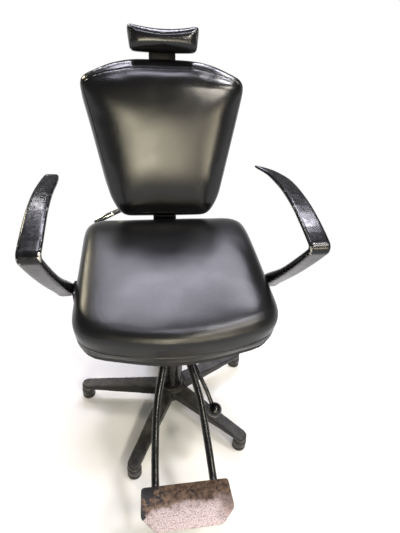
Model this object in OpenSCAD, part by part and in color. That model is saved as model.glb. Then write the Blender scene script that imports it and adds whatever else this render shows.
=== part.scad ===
// Hydraulic barber chair on a five-arm star base, with a reclining back, an adjustable
// headrest, cast arms and a footrest that turns with the seat.
// Millimetres, +Z up, the sitter faces -Y, origin on the floor on the swivel axis.

/* [Base] */
// Number of arms on the star base
base_arms = 5; // [4:1:6]
// Distance from the swivel axis to the centre of each floor glide
glide_circle_r = 285; // [250:1:330]
// Direction of the first base arm, measured from +X
base_turn = 27; // [15:0.5:40]
// Width of a base arm where it leaves the hub
base_arm_w = 45; // [36:1:56]
// Width of a base arm at its rounded tip
base_tip_w = 38; // [34:1:46]
// Depth of a base arm at its tip
base_tip_t = 14; // [12:1:24]
// Outside diameter of the hub
hub_d = 94; // [88:1:120]
// Height of the hub's top above the floor
hub_top = 90; // [80:1:120]
// Depth of the hub
hub_h = 48; // [40:1:60]
// Thickness of the hub's floor, which the pump stands on
hub_floor_t = 6; // [4:1:10]
// Height of the pale ring round the top of the hub
hub_ring_h = 5; // [3:0.5:10]
// Width of the pale ring
hub_ring_w = 4; // [2:0.5:6]
// Diameter of a floor glide
glide_d = 42; // [36:1:52]
// Height of a floor glide
glide_h = 44; // [30:1:48]
// Diameter of the stud that holds a glide
glide_stud_d = 10; // [8:1:12]
// Diameter of the washer above a glide
glide_washer_d = 36; // [24:1:38]
// Thickness of the washer above a glide
glide_washer_t = 2.5; // [1.5:0.5:4]

/* [Pump] */
// Outside diameter of the pump housing
pump_d = 70; // [60:1:76]
// Wall of the pump housing
pump_wall = 3; // [2:0.5:4]
// Length of the pump housing above the hub's floor
pump_h = 246; // [220:1:280]
// Thickness of the plug that closes the foot of the pump
pump_foot_t = 14; // [10:1:20]
// Diameter of the bolt that holds the pump to the base
base_bolt_d = 10; // [8:1:14]
// Outside diameter of the inner cylinder
barrel_d = 50; // [48:1:52]
// Wall of the inner cylinder
barrel_wall = 3; // [2:0.5:3]
// Diameter of the lift ram
ram_d = 36; // [32:1:38]
// Length of the ram's piston
piston_h = 20; // [14:1:30]
// Diameter of the pump head
pump_head_d = 80; // [78:1:90]
// Height of the pump head
pump_head_h = 56; // [50:1:70]
// Height that the chair lifts by
lift_stroke = 150; // [100:1:170]
// Length of bare ram between the pump and the swivel at the lowest seat
ram_bare_h = 24; // [20:1:40]

/* [Pump lever] */
// Direction of the pump lever, measured from +X
lever_azimuth = -63; // [-70:0.5:-50]
// Distance from the swivel axis to the lever's pin
lever_pin_r = 52; // [51:0.5:56]
// Height of the lever's pin above the underside of the pump head
lever_pin_up = 30; // [26:1:36]
// Diameter of the lever's pin
lever_pin_d = 10; // [8:1:12]
// Thickness of the lever's fork block
lever_fork_w = 14; // [13:0.5:20]
// Depth of the lever's fork block
lever_fork_h = 18; // [17:1:24]
// Diameter of the lever's rod
lever_rod_d = 12; // [10:0.5:12]
// Diameter of the ball on the lever
lever_knob_d = 42; // [32:1:46]
// Angle that the lever swings down through
lever_travel = 25; // [15:1:25]
// Diameter of the plunger that the lever pushes
plunger_d = 12; // [8:1:14]
// Distance from the swivel axis to the plunger
plunger_r = 66; // [65:0.5:70]

/* [Swivel and frame] */
// Diameter of the spigot that the seat turns on
spigot_d = 28; // [20:1:30]
// Thickness of the thrust bearing
thrust_t = 6; // [4:0.5:8]
// Diameter of the swivel hub
swivel_d = 56; // [50:1:60]
// Depth of the swivel hub, with its flange
swivel_h = 28; // [24:1:40]
// Diameter of the swivel hub's flange
flange_d = 130; // [120:1:140]
// Thickness of the swivel hub's flange
flange_t = 10; // [6:1:12]
// Diameter of the circle of bolts in the flange
flange_bolt_circle = 104; // [100:1:108]
// Width of the centre plate
centre_plate_w = 236; // [230:1:260]
// Length of the centre plate
centre_plate_l = 190; // [180:1:200]
// Thickness of the steel plates under the seat
plate_t = 6; // [4:0.5:8]
// Distance between the middles of the two frame rails
rail_spacing = 180; // [170:1:190]
// Width of a frame rail
rail_w = 40; // [30:1:44]
// Height of a frame rail
rail_h = 22; // [20:1:30]
// Wall of a frame rail
rail_wall = 2; // [1.5:0.5:3]
// Diameter of the frame's bolts
frame_bolt_d = 8; // [6:1:8]

/* [Seat] */
// Width of the seat at its front corners
seat_w_front = 526; // [490:1:534]
// Width of the seat at its rear corners
seat_w_rear = 508; // [460:1:516]
// Distance from the swivel axis forward to the front corners
seat_corner_y = 190; // [170:1:200]
// Further reach of the middle of the front edge
seat_bow = 66; // [0:1:90]
// Distance from the swivel axis back to the rear edge
seat_rear_y = 296; // [270:1:297]
// Thickness of the seat board
seat_board_t = 15; // [10:1:20]
// Inset of the seat board from the cushion's edge
seat_board_inset = 12; // [8:1:20]
// Thickness of the seat cushion at its middle
seat_cushion_t = 118; // [90:1:130]
// Height of the crown on the seat cushion
seat_crown = 9; // [4:1:16]

/* [Arms] */
// Distance from the face that an arm's foot is bolted to out to the middle of the arm's top
arm_out = 51; // [42:1:62]
// Height of an arm's top above the floor
arm_top_z = 758; // [730:1:780]
// Reach of an arm's front corner from the swivel axis
arm_front_y = 152; // [140:1:170]
// Reach of an arm's tip behind the swivel axis
arm_tip_y = 205; // [180:1:230]
// Width of an arm's top at its front corner
arm_w = 52; // [44:1:60]
// Thickness of an arm's top
arm_t = 14; // [10:1:18]
// Distance from the swivel axis back to the middle of an arm's foot
arm_foot_y = 48; // [36:1:56]
// Height of an arm's foot above the underside of the seat board
arm_foot_up = 18; // [14:1:30]
// Thickness of the steel angle that carries an arm
arm_angle_t = 6; // [4:0.5:8]
// Width of the steel angle that carries an arm
arm_angle_w = 66; // [60:1:74]
// Length of the inward hook on the right arm's tip
right_hook = 40; // [1:1:50]
// Length of the inward hook on the left arm's tip
left_hook = 1; // [1:1:50]

/* [Footrest] */
// Diameter of the footrest tubes
foot_tube_d = 20; // [16:1:22]
// Distance between the tubes at the footplate
foot_tube_spacing = 148; // [130:1:160]
// Width of the footplate
footplate_w = 226; // [220:1:260]
// Length of the footplate, front to back
footplate_l = 104; // [96:1:120]
// Distance from the swivel axis forward to the footplate's back edge
footplate_back_y = 388; // [375:1:400]
// Height of the footplate's top above the floor
footplate_z = 187; // [180:1:200]
// Thickness of the footplate
footplate_t = 4; // [3:0.5:6]
// Cut across each front corner of the footplate
footplate_chamfer = 34; // [20:1:45]

/* [Back] */
// Lean of the back from upright
back_lean = 18; // [10:0.5:24]
// Distance from the swivel axis back to the foot of the back's front plane
back_y = 288; // [284:1:300]
// Height of the foot of the back above the floor
back_z = 573; // [570:1:585]
// Width of the back at its shoulder corners
back_w_top = 494; // [470:1:510]
// Width of the back at its foot
back_w_foot = 270; // [250:1:320]
// Height of the shoulder corners up the back
back_corner_h = 404; // [380:1:412]
// Height of the back's top edge up the back
back_top_h = 458; // [448:1:470]
// Thickness of the back cushion at its middle
back_cushion_t = 78; // [60:1:90]
// Height of the crown on the back cushion
back_crown = 10; // [4:1:16]
// Thickness of the back board
back_board_t = 10; // [8:1:15]
// Thickness of the cover behind the back board
back_cover_t = 4; // [3:0.5:6]
// Inset of the back board from the cushion's edge
back_board_inset = 12; // [8:1:24]
// Distance from the swivel axis back to the recline axis
recline_y = 305; // [303:1:310]
// Height of the recline axis below the underside of the seat board
recline_drop = 14; // [14:1:20]
// Diameter of the recline pin
recline_pin_d = 12; // [10:1:14]
// Width of the steel strip that carries the back
back_strip_w = 76; // [70:1:84]
// Thickness of the steel strip that carries the back
back_strip_t = 6; // [5:0.5:8]
// Reach of the strip up the back
back_strip_h = 200; // [180:1:230]

/* [Gas spring] */
// Distance from the recline axis to the gas spring's rear pin
strut_arm = 40; // [36:1:44]
// Distance from the swivel axis back to the gas spring's front pin
strut_front_y = 104; // [100:1:110]
// Diameter of the gas spring's pins
strut_pin_d = 8; // [6:1:8]
// Outside diameter of the gas spring's cylinder
strut_d = 22; // [21:1:26]
// Length of the gas spring's cylinder
strut_cylinder_l = 118; // [100:1:125]
// Diameter of the gas spring's rod
strut_rod_d = 8; // [6:1:8]

/* [Headrest] */
// Width of the headrest
headrest_w = 206; // [190:1:240]
// Height of the headrest
headrest_h = 72; // [60:1:90]
// Thickness of the headrest cushion at its middle
headrest_t = 56; // [40:1:70]
// Gap between the top of the back and the headrest at its lowest
headrest_gap = 14; // [14:1:30]
// Width of the headrest's flat bar
headrest_bar_w = 80; // [60:1:90]
// Thickness of the headrest's flat bar
headrest_bar_t = 4; // [3:0.5:5]
// Height that the headrest rises by
headrest_stroke = 90; // [50:1:100]
// Height of the socket that the bar slides in
headrest_socket_h = 116; // [90:1:130]
// Diameter of the headrest's tilt pin
tilt_pin_d = 8; // [6:1:8]
// Diameter of the clamp knob
clamp_knob_d = 36; // [28:1:44]

/* [Hidden] */
$fn = 64;

// Radial clearance of a shaft that runs in a hole
run = 0.05;
// Gap between fixed pieces that seat on a curved face
seat_fit = 0.1;
// Gap that keeps flat faces of different bodies apart
apart = 0.3;
// Length of a drilling that goes right through what it crosses
drill_l = 60;
// Height and width of a hexagon bolt's head, for each millimetre of its shank
hex_head_h = 0.65;
hex_head_w = 1.85;
bolt_hole_d = frame_bolt_d + 2 * seat_fit;
board_screw_d = 6;
board_screw_hole_d = board_screw_d + 2 * seat_fit;
saddle_bolt_d = 6;
socket_screw_d = 5;
// Sides of a swept tube, and steps between two points of its route
tube_sides = 16;
tube_steps = 4;

// Heights of the pump, from the floor up
arm_under_z = glide_h + glide_washer_t;
hub_under_z = hub_top - hub_h;
pump_z = hub_under_z + hub_floor_t;
barrel_z = pump_z + pump_foot_t;
head_z = pump_z + pump_h;
head_top = head_z + pump_head_h;
bush_d = ram_d + 10;
bush_flange_t = 4;
wiper_t = 4;
ram_top = head_top + bush_flange_t + wiper_t + ram_bare_h;
ram_foot_gap = 4;
ram_foot_z = barrel_z + ram_foot_gap;
swivel_z = ram_top + thrust_t + apart;
swivel_top = swivel_z + swivel_h;
rail_z = swivel_top + plate_t;
board_z = rail_z + rail_h;
cushion_z = board_z + seat_board_t;

// The pump lever
lever_z = head_z + lever_pin_up;
lever_under_z = lever_z - lever_fork_h / 2;
ear_t = 6;
fork_end_r = plunger_r + 14;
// The rod enters the ball along a line through its middle: how far inboard and above that line
// starts, and the share of it that stays outside the rod's end
knob_run = 20;
knob_rise = 17;
knob_share = 3.7;
boss_top = head_z + 8;
knob_r = 231;
knob_z = lever_z - 111;
// The plunger sinks by the depth that the fork's underside reaches over the plunger's far edge
plunger_far = plunger_r + plunger_d / 2 - lever_pin_r;
plunger_sink = (lever_fork_h / 2 + plunger_far * sin(lever_travel)) / cos(lever_travel) - lever_fork_h / 2;

// The recline hinge and the gas spring
recline_z = board_z - recline_drop;
recline_range = 45;
hinge_ear_t = 8;
hinge_ear_r = 13.5;
strut_rear = [recline_y + strut_arm * sin(recline_range / 2), recline_z - strut_arm * cos(recline_range / 2)];
strut_front = [strut_front_y, swivel_top - 20];
strut_angle = atan2(strut_rear[1] - strut_front[1], strut_rear[0] - strut_front[0]);
strut_l = norm(strut_rear - strut_front);
strut_eye_r = 9;
strut_eye_w = 15;
strut_ear_t = 5;

// Layers behind the back, measured backwards from its front plane
back_belly_y = 26;
cover_y = back_belly_y + back_board_t;
strip_y = cover_y + back_cover_t;
socket_wall = 3;
bar_clear = 0.2;
bar_y = strip_y + socket_wall + bar_clear;
bar_mid_y = bar_y + headrest_bar_t / 2;
socket_back_y = bar_y + headrest_bar_t + bar_clear + 8;
socket_z = back_top_h - 20 - headrest_socket_h;
headrest_z = back_top_h + headrest_gap;
headrest_belly_y = 14;
headrest_board_t = 8;
tilt_z = headrest_z + headrest_h / 2;
tilt_r = 7;
headrest_bar_foot = socket_z + 16;

// Unit vector of v
function unit(v) = v / norm(v);

// Point at share t of the smooth curve between p1 and p2
function curve_point(p0, p1, p2, p3, t) =
    0.5 * (2 * p1 + (p2 - p0) * t + (2 * p0 - 5 * p1 + 4 * p2 - p3) * t * t
    + (3 * p1 - p0 - 3 * p2 + p3) * t * t * t);

// Smooth curve through every point of p, with n steps between neighbours
function smooth(p, n) = [
    for (i = [0 : len(p) - 2], k = [0 : n - 1])
        curve_point(p[max(i - 1, 0)], p[i], p[i + 1], p[min(i + 2, len(p) - 1)], k / n),
    p[len(p) - 1]
];

// Closed outline through corners [x, y, reach], where reach is how far from the corner its bend starts
function bent_outline(corners, bend_steps, side_steps) = [
    for (i = [0 : len(corners) - 1])
        let (
            last = corners[(i + len(corners) - 1) % len(corners)],
            here = corners[i],
            next = corners[(i + 1) % len(corners)],
            p = [here[0], here[1]],
            from = p + unit([last[0], last[1]] - p) * here[2],
            to = p + unit([next[0], next[1]] - p) * here[2],
            next_from = [next[0], next[1]] + unit(p - [next[0], next[1]]) * next[2]
        )
        each concat(
            [for (k = [0 : bend_steps])
                let (t = k / bend_steps) from * (1 - t) * (1 - t) + p * 2 * t * (1 - t) + to * t * t],
            [for (k = [1 : side_steps - 1]) to + (next_from - to) * k / side_steps]
        )
];

// Skin over a list of rings, each a list of points that runs anticlockwise seen from the last ring
module skin(rings) {
    n = len(rings[0]);
    last = (len(rings) - 1) * n;
    polyhedron(
        points = [for (ring = rings) each ring],
        faces = concat(
            [[for (k = [0 : n - 1]) k]],
            [for (i = [0 : len(rings) - 2], k = [0 : n - 1], half = [0, 1])
                let (a = i * n + k, b = i * n + (k + 1) % n)
                half == 0 ? [a, a + n, b] : [b, a + n, b + n]],
            [[for (k = [n - 1 : -1 : 0]) last + k]]
        ),
        convexity = 6
    );
}

// Round tube of diameter d along a route of points
module tube(route, d) {
    skin([
        for (i = [0 : len(route) - 1])
            let (
                dir = unit(route[min(i + 1, len(route) - 1)] - route[max(i - 1, 0)]),
                side = unit(cross([0, 0, 1], dir)),
                up = cross(dir, side)
            )
            [for (k = [0 : tube_sides - 1])
                let (a = 360 * k / tube_sides) route[i] + (side * cos(a) + up * sin(a)) * d / 2]
    ]);
}

// Section of a cushion: [inset from its widest outline, height], from the seam up to the crown
function cushion_profile(t, crown, draw_in, belly, edge, reach) = concat(
    [[draw_in, 0]],
    [for (k = [1 : 3]) [draw_in * (1 - sin(30 * k)), belly * k / 3]],
    [for (k = [1 : 5]) [edge * (1 - cos(18 * k)), belly + (t - crown - belly) * sin(18 * k)]],
    [for (k = [1 : 4]) [edge + (reach - edge) * k / 4, t - crown * pow(1 - k / 4, 2)]]
);

// Upholstered form on an outline, drawn in at its seam, bellied at its side and crowned on top
module cushion(outline, middle, profile) {
    half_x = max([for (p = outline) abs(p[0] - middle[0])]);
    half_y = max([for (p = outline) abs(p[1] - middle[1])]);
    skin([
        for (step = profile)
            [for (k = [0 : len(outline) - 1])
                let (p = outline[k] - middle)
                [middle[0] + p[0] * (1 - step[0] / half_x), middle[1] + p[1] * (1 - step[0] / half_y), step[1]]]
    ]);
}

// Flat panel that follows an outline, drawn in by inset
module panel(outline, middle, inset, t) {
    half_x = max([for (p = outline) abs(p[0] - middle[0])]);
    half_y = max([for (p = outline) abs(p[1] - middle[1])]);
    linear_extrude(height = t)
        polygon([
            for (p = outline)
                [middle[0] + (p[0] - middle[0]) * (1 - inset / half_x),
                    middle[1] + (p[1] - middle[1]) * (1 - inset / half_y)]
        ]);
}

seat_middle = [0, 35];
// How far from each corner of the seat its bend starts
seat_front_bend = 72;
seat_bow_bend = 120;
seat_rear_bend = 60;
seat_outline = bent_outline([
    [-seat_w_front / 2, -seat_corner_y, seat_front_bend],
    [0, -seat_corner_y - seat_bow, seat_bow_bend],
    [seat_w_front / 2, -seat_corner_y, seat_front_bend],
    [seat_w_rear / 2, seat_rear_y, seat_rear_bend],
    [-seat_w_rear / 2, seat_rear_y, seat_rear_bend],
], 5, 5);

// The back flares out from its foot by this much over this height, then runs straight to its shoulders
back_flare_w = 36;
back_flare_h = 50;
back_foot_bend = 22;
back_side_bend = 34;
back_top_bend = 60;
back_peak_x = back_w_top / 4 - 2;
back_peak_h = back_top_h + 2;
back_middle = [0, back_top_h * 0.52];
back_outline = bent_outline([
    [-back_w_foot / 2, -4, back_foot_bend],
    [back_w_foot / 2, -4, back_foot_bend],
    [back_w_foot / 2 + back_flare_w, back_flare_h, back_side_bend],
    [back_w_top / 2, back_corner_h, back_side_bend],
    [back_peak_x, back_peak_h, back_top_bend],
    [-back_peak_x, back_peak_h, back_top_bend],
    [-back_w_top / 2, back_corner_h, back_side_bend],
    [-back_w_foot / 2 - back_flare_w, back_flare_h, back_side_bend],
], 4, 4);

headrest_middle = [0, headrest_z + headrest_h / 2];
// The headrest narrows by this much on each side of its foot, and its top dips in the middle
headrest_narrow = 8;
headrest_dip = 5;
headrest_bend = 14;
headrest_outline = bent_outline([
    [headrest_narrow - headrest_w / 2, headrest_z, headrest_bend],
    [headrest_w / 2 - headrest_narrow, headrest_z, headrest_bend],
    [headrest_w / 2, headrest_z + headrest_h, headrest_bend],
    [0, headrest_z + headrest_h - headrest_dip, 70],
    [-headrest_w / 2, headrest_z + headrest_h, headrest_bend],
], 4, 4);

// Runs its children once for each base arm, along +X
module each_base_arm() {
    for (k = [0 : base_arms - 1])
        rotate([0, 0, base_turn + 360 / base_arms * k]) children();
}

// Turns its children from the XZ plane to the pump lever's own plane
module on_lever() {
    rotate([0, 0, lever_azimuth]) children();
}

// Places its children on the back: X across, Z up the back, Y straight out behind it
module on_back() {
    translate([0, back_y, back_z]) rotate([-back_lean, 0, 0]) children();
}

// Lays a form that stands on XY against the back, with its own Z towards the sitter
module facing_sitter(y) {
    on_back() translate([0, y, 0]) rotate([90, 0, 0]) children();
}

// Straight cylinder along X, centred on the middle plane
module cross_bar(y, z, d, l) {
    translate([-l / 2, y, z]) rotate([0, 90, 0]) cylinder(h = l, d = d);
}

// Block given by its lowest and highest corners
module block(low, high) {
    translate(low) cube(high - low);
}

// Hexagon bolt that stands on z, with its head down and its shank up
module hex_bolt(z, d, l) {
    translate([0, 0, z - hex_head_h * d]) cylinder(h = hex_head_h * d, d = hex_head_w * d, $fn = 6);
    translate([0, 0, z]) cylinder(h = l, d = d);
}

module base_arm() {
    reach = glide_circle_r + base_tip_w / 2;
    intersection() {
        linear_extrude(height = hub_top)
            union() {
                polygon([
                    [0, -base_arm_w / 2], [glide_circle_r, -base_tip_w / 2],
                    [glide_circle_r, base_tip_w / 2], [0, base_arm_w / 2],
                ]);
                translate([glide_circle_r, 0]) circle(d = base_tip_w);
            }
        rotate([90, 0, 0])
            translate([0, 0, -base_arm_w])
                linear_extrude(height = 2 * base_arm_w)
                    polygon([
                        [0, hub_under_z + 1], [hub_d / 2, hub_under_z + 1], [glide_circle_r - 60, arm_under_z],
                        [reach, arm_under_z], [reach, arm_under_z + base_tip_t - 3],
                        [reach - 5, arm_under_z + base_tip_t], [hub_d / 2 - 6, hub_top - 3], [0, hub_top - 3],
                    ]);
    }
}

module star_base() {
    color("#17171a")
        difference() {
            union() {
                translate([0, 0, hub_under_z]) cylinder(h = hub_h, d = hub_d);
                each_base_arm() base_arm();
            }
            translate([0, 0, pump_z]) cylinder(h = hub_h, d = pump_d + 2 * seat_fit);
            translate([0, 0, hub_under_z - 1]) cylinder(h = hub_h, d = base_bolt_d + 1);
            each_base_arm()
                translate([glide_circle_r, 0, arm_under_z - 1])
                    cylinder(h = base_tip_t - 4, d = glide_stud_d + 2 * seat_fit);
        }
}

module hub_ring() {
    color("#8c8c8a")
        translate([0, 0, hub_top])
            difference() {
                cylinder(h = hub_ring_h, d = pump_d + 2 * seat_fit + 2 * hub_ring_w);
                translate([0, 0, -1]) cylinder(h = hub_ring_h + 2, d = pump_d + 2 * seat_fit);
            }
}

module floor_glides() {
    color("#242424")
        each_base_arm()
            translate([glide_circle_r, 0, 0])
                difference() {
                    rotate_extrude()
                        polygon([
                            [0, 0], [glide_d / 2 - 2, 0], [glide_d / 2, 2], [glide_d / 2, glide_h - 6],
                            [glide_d / 2 - 4, glide_h], [0, glide_h],
                        ]);
                    translate([0, 0, glide_h / 2]) cylinder(h = glide_h, d = glide_stud_d + 2 * seat_fit);
                }
}

module glide_studs() {
    color("#9a9a9a")
        each_base_arm()
            translate([glide_circle_r, 0, glide_h / 2])
                cylinder(h = arm_under_z + base_tip_t - 5 - glide_h / 2, d = glide_stud_d);
}

module glide_washers() {
    color("#a3a3a0")
        each_base_arm()
            translate([glide_circle_r, 0, glide_h])
                difference() {
                    cylinder(h = glide_washer_t, d = glide_washer_d);
                    translate([0, 0, -1]) cylinder(h = glide_washer_t + 2, d = glide_stud_d + 2 * seat_fit);
                }
}

module base_bolt() {
    color("#8f8f8f")
        hex_bolt(hub_under_z, base_bolt_d, hub_floor_t + pump_foot_t - 2);
}

module pump_housing() {
    color("#101013")
        translate([0, 0, pump_z])
            difference() {
                cylinder(h = pump_h, d = pump_d);
                translate([0, 0, -1]) cylinder(h = pump_h + 2, d = pump_d - 2 * pump_wall);
            }
}

module pump_foot() {
    color("#77777a")
        translate([0, 0, pump_z])
            difference() {
                cylinder(h = pump_foot_t, d = pump_d - 2 * pump_wall - 2 * seat_fit);
                translate([0, 0, -1]) cylinder(h = pump_foot_t, d = base_bolt_d + 2 * seat_fit);
            }
}

module inner_cylinder() {
    color("#a8a8ab")
        translate([0, 0, barrel_z])
            difference() {
                cylinder(h = head_z - barrel_z, d = barrel_d);
                translate([0, 0, -1]) cylinder(h = pump_h, d = barrel_bore_d);
            }
}

module pump_head() {
    ear_r = lever_pin_d / 2 + 6;
    ear_y = lever_fork_w / 2 + apart;
    color("#151518")
        difference() {
            union() {
                translate([0, 0, head_z]) cylinder(h = pump_head_h, d = pump_head_d);
                on_lever() {
                    for (side = [-1, 1])
                        translate([0, side * (ear_y + ear_t / 2), 0]) {
                            block([bush_d / 2 + 4, -ear_t / 2, head_z],
                                [lever_pin_r, ear_t / 2, lever_z + ear_r]);
                            translate([lever_pin_r, ear_t / 2, lever_z])
                                rotate([90, 0, 0]) cylinder(h = ear_t, r = ear_r);
                        }
                    block([bush_d / 2 + 4, -plunger_d, head_z], [plunger_r, plunger_d, boss_top]);
                    translate([plunger_r, 0, head_z - 26]) cylinder(h = boss_top - head_z + 26, r = plunger_d);
                }
            }
            // Room for the fork and the end of its swing
            on_lever()
                block([lever_pin_r - lever_fork_h, -ear_y, boss_top], [fork_end_r, ear_y, head_top + 1]);
            translate([0, 0, head_z - 1]) cylinder(h = pump_head_h + 2, d = bush_d + 2 * seat_fit);
            // The head's own skirt leaves the housing clear
            translate([0, 0, head_z - 30]) cylinder(h = 30, d = pump_d + 2 * seat_fit);
            on_lever() {
                translate([lever_pin_r, drill_l / 2, lever_z])
                    rotate([90, 0, 0]) cylinder(h = drill_l, d = lever_pin_d + 2 * run);
                translate([plunger_r, 0, head_z - 22]) cylinder(h = drill_l, d = plunger_d + 2 * run);
            }
        }
}

module gland_bush() {
    color("#b08d4a")
        difference() {
            union() {
                translate([0, 0, head_z + 4]) cylinder(h = pump_head_h - 4, d = bush_d);
                translate([0, 0, head_top]) cylinder(h = bush_flange_t, d = bush_d + 14);
            }
            translate([0, 0, head_z]) cylinder(h = pump_head_h + 10, d = ram_d + 2 * run);
        }
}

module rod_wiper() {
    color("#1c1c1c")
        translate([0, 0, head_top + bush_flange_t])
            difference() {
                cylinder(h = wiper_t, d = ram_d + 12);
                translate([0, 0, -1]) cylinder(h = wiper_t + 2, d = ram_d + 2 * run);
            }
}

module lever_pin() {
    l = lever_fork_w + 2 * (ear_t + apart) + 4;
    color("#b5b5b5")
        on_lever()
            translate([lever_pin_r, l / 2, lever_z]) rotate([90, 0, 0]) cylinder(h = l, d = lever_pin_d);
}

module pump_plunger() {
    foot = head_z - 6;
    color("#b9b9bc")
        on_lever()
            translate([plunger_r, 0, foot]) cylinder(h = lever_under_z - apart - foot, d = plunger_d);
}

module lever_fork() {
    color("#19191c")
        on_lever()
            difference() {
                union() {
                    translate([lever_pin_r, lever_fork_w / 2, lever_z])
                        rotate([90, 0, 0]) cylinder(h = lever_fork_w, d = lever_fork_h);
                    block([lever_pin_r, -lever_fork_w / 2, lever_under_z],
                        [fork_end_r, lever_fork_w / 2, lever_z + lever_fork_h / 2]);
                }
                translate([lever_pin_r, lever_fork_w, lever_z])
                    rotate([90, 0, 0]) cylinder(h = 2 * lever_fork_w, d = lever_pin_d + 2 * run);
                translate([plunger_r, 0, lever_z])
                    rotate([0, 90, 0]) cylinder(h = drill_l, d = lever_rod_d + 2 * seat_fit);
            }
}

module lever_rod() {
    color("#111113")
        on_lever()
            tube(smooth([
                [plunger_r + 1, 0, lever_z], [fork_end_r - 6, 0, lever_z], [fork_end_r + 1, 0, lever_z],
                [fork_end_r + 8, 0, lever_z], [fork_end_r + 28, 0, lever_z - 16],
                [knob_r - 79, 0, knob_z + 66], [knob_r - 44, 0, knob_z + 41],
                [knob_r - knob_run, 0, knob_z + knob_rise],
                [knob_r - knob_run / knob_share, 0, knob_z + knob_rise / knob_share],
            ], tube_steps), lever_rod_d);
}

module lever_knob() {
    color("#0d0d0f")
        on_lever()
            translate([knob_r, 0, knob_z])
                difference() {
                    sphere(d = lever_knob_d);
                    rotate([0, 270 + atan2(knob_rise, knob_run), 0])
                        translate([0, 0, 3]) cylinder(h = lever_knob_d, d = lever_rod_d + 2);
                }
}

piston_seat_d = ram_d - 12;
barrel_bore_d = barrel_d - 2 * barrel_wall;
// Depth and height of the groove that the piston's seal sits in
seal_groove = 3;
seal_groove_h = 4;
seal_h = seal_groove_h - 2 * seat_fit;

module lift_ram() {
    color("#c9cacc")
        union() {
            translate([0, 0, ram_foot_z]) cylinder(h = piston_h, d = piston_seat_d);
            translate([0, 0, ram_foot_z + piston_h]) cylinder(h = ram_top - ram_foot_z - piston_h, d = ram_d);
            translate([0, 0, ram_top]) cylinder(h = swivel_top - 2 - ram_top, d = spigot_d);
        }
}

module ram_piston() {
    color("#85858a")
        translate([0, 0, ram_foot_z])
            difference() {
                cylinder(h = piston_h, d = barrel_bore_d - 2 * run);
                translate([0, 0, -1]) cylinder(h = piston_h + 2, d = piston_seat_d + 2 * run);
                translate([0, 0, (piston_h - seal_groove_h) / 2])
                    difference() {
                        cylinder(h = seal_groove_h, d = barrel_bore_d + 2);
                        translate([0, 0, -1])
                            cylinder(h = seal_groove_h + 2, d = barrel_bore_d - 2 * seal_groove);
                    }
            }
}

module piston_seal() {
    color("#202020")
        translate([0, 0, ram_foot_z + (piston_h - seal_h) / 2])
            difference() {
                cylinder(h = seal_h, d = barrel_bore_d - 2 * run);
                translate([0, 0, -1]) cylinder(h = seal_h + 2, d = barrel_bore_d - 2 * seal_groove + 2 * run);
            }
}

module thrust_bearing() {
    color("#9d9da2")
        translate([0, 0, ram_top])
            difference() {
                cylinder(h = thrust_t, d = swivel_d - 6);
                translate([0, 0, -1]) cylinder(h = thrust_t + 2, d = spigot_d + 2 * seat_fit);
            }
}

// Runs its children at each bolt of the swivel flange
module each_flange_bolt() {
    for (k = [0 : 3]) rotate([0, 0, 45 + 90 * k]) translate([flange_bolt_circle / 2, 0, 0]) children();
}

module swivel_hub() {
    color("#1b1b1e")
        difference() {
            union() {
                translate([0, 0, swivel_z]) cylinder(h = swivel_h, d = swivel_d);
                translate([0, 0, swivel_top - flange_t]) cylinder(h = flange_t, d = flange_d);
            }
            translate([0, 0, swivel_z - 1]) cylinder(h = swivel_h + 2, d = spigot_d + 2 * run);
            each_flange_bolt()
                translate([0, 0, swivel_z]) cylinder(h = swivel_h + 2, d = bolt_hole_d);
        }
}

frame_bolt_y = centre_plate_l / 2 - 20;
hinge_plate_front = 200;
hinge_plate_back = 270;
hinge_bolt_y = (hinge_plate_front + hinge_plate_back) / 2;
board_screw_y = 150;

// Runs its children at each bolt that joins a plate to a rail
module each_frame_bolt() {
    for (side = [-1, 1], y = [-frame_bolt_y, frame_bolt_y, hinge_bolt_y])
        translate([side * rail_spacing / 2, y, 0]) children();
}

// Runs its children at each screw that holds the seat board
module each_board_screw() {
    for (side = [-1, 1], y = [-board_screw_y, board_screw_y])
        translate([side * rail_spacing / 2, y, 0]) children();
}

module centre_plate() {
    color("#1e1e21")
        difference() {
            block([-centre_plate_w / 2, -centre_plate_l / 2, swivel_top],
                [centre_plate_w / 2, centre_plate_l / 2, rail_z]);
            each_flange_bolt() translate([0, 0, swivel_z]) cylinder(h = drill_l, d = bolt_hole_d);
            each_frame_bolt() translate([0, 0, swivel_z]) cylinder(h = drill_l, d = bolt_hole_d);
        }
}

module frame_rails() {
    front = -seat_corner_y - 5;
    color("#1b1b1d")
        difference() {
            for (side = [-1, 1])
                translate([side * rail_spacing / 2, 0, 0])
                    difference() {
                        block([-rail_w / 2, front, rail_z], [rail_w / 2, hinge_plate_back, board_z]);
                        block([rail_wall - rail_w / 2, front - 1, rail_z + rail_wall],
                            [rail_w / 2 - rail_wall, hinge_plate_back + 1, board_z - rail_wall]);
                    }
            each_frame_bolt() translate([0, 0, swivel_z]) cylinder(h = drill_l, d = bolt_hole_d);
            each_board_screw() translate([0, 0, rail_z - 1]) cylinder(h = rail_h + 2, d = board_screw_hole_d);
        }
}

module frame_bolts() {
    color("#8b8b8b")
        each_frame_bolt() hex_bolt(swivel_top, frame_bolt_d, plate_t + rail_wall + 6);
}

module flange_bolts() {
    flange_nut_h = 6;
    color("#8b8b8b")
        each_flange_bolt() {
            hex_bolt(swivel_top - flange_t, frame_bolt_d, flange_t + plate_t + 8);
            translate([0, 0, rail_z])
                difference() {
                    cylinder(h = flange_nut_h, d = hex_head_w * frame_bolt_d, $fn = 6);
                    translate([0, 0, -1]) cylinder(h = flange_nut_h + 2, d = frame_bolt_d);
                }
        }
}

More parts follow.
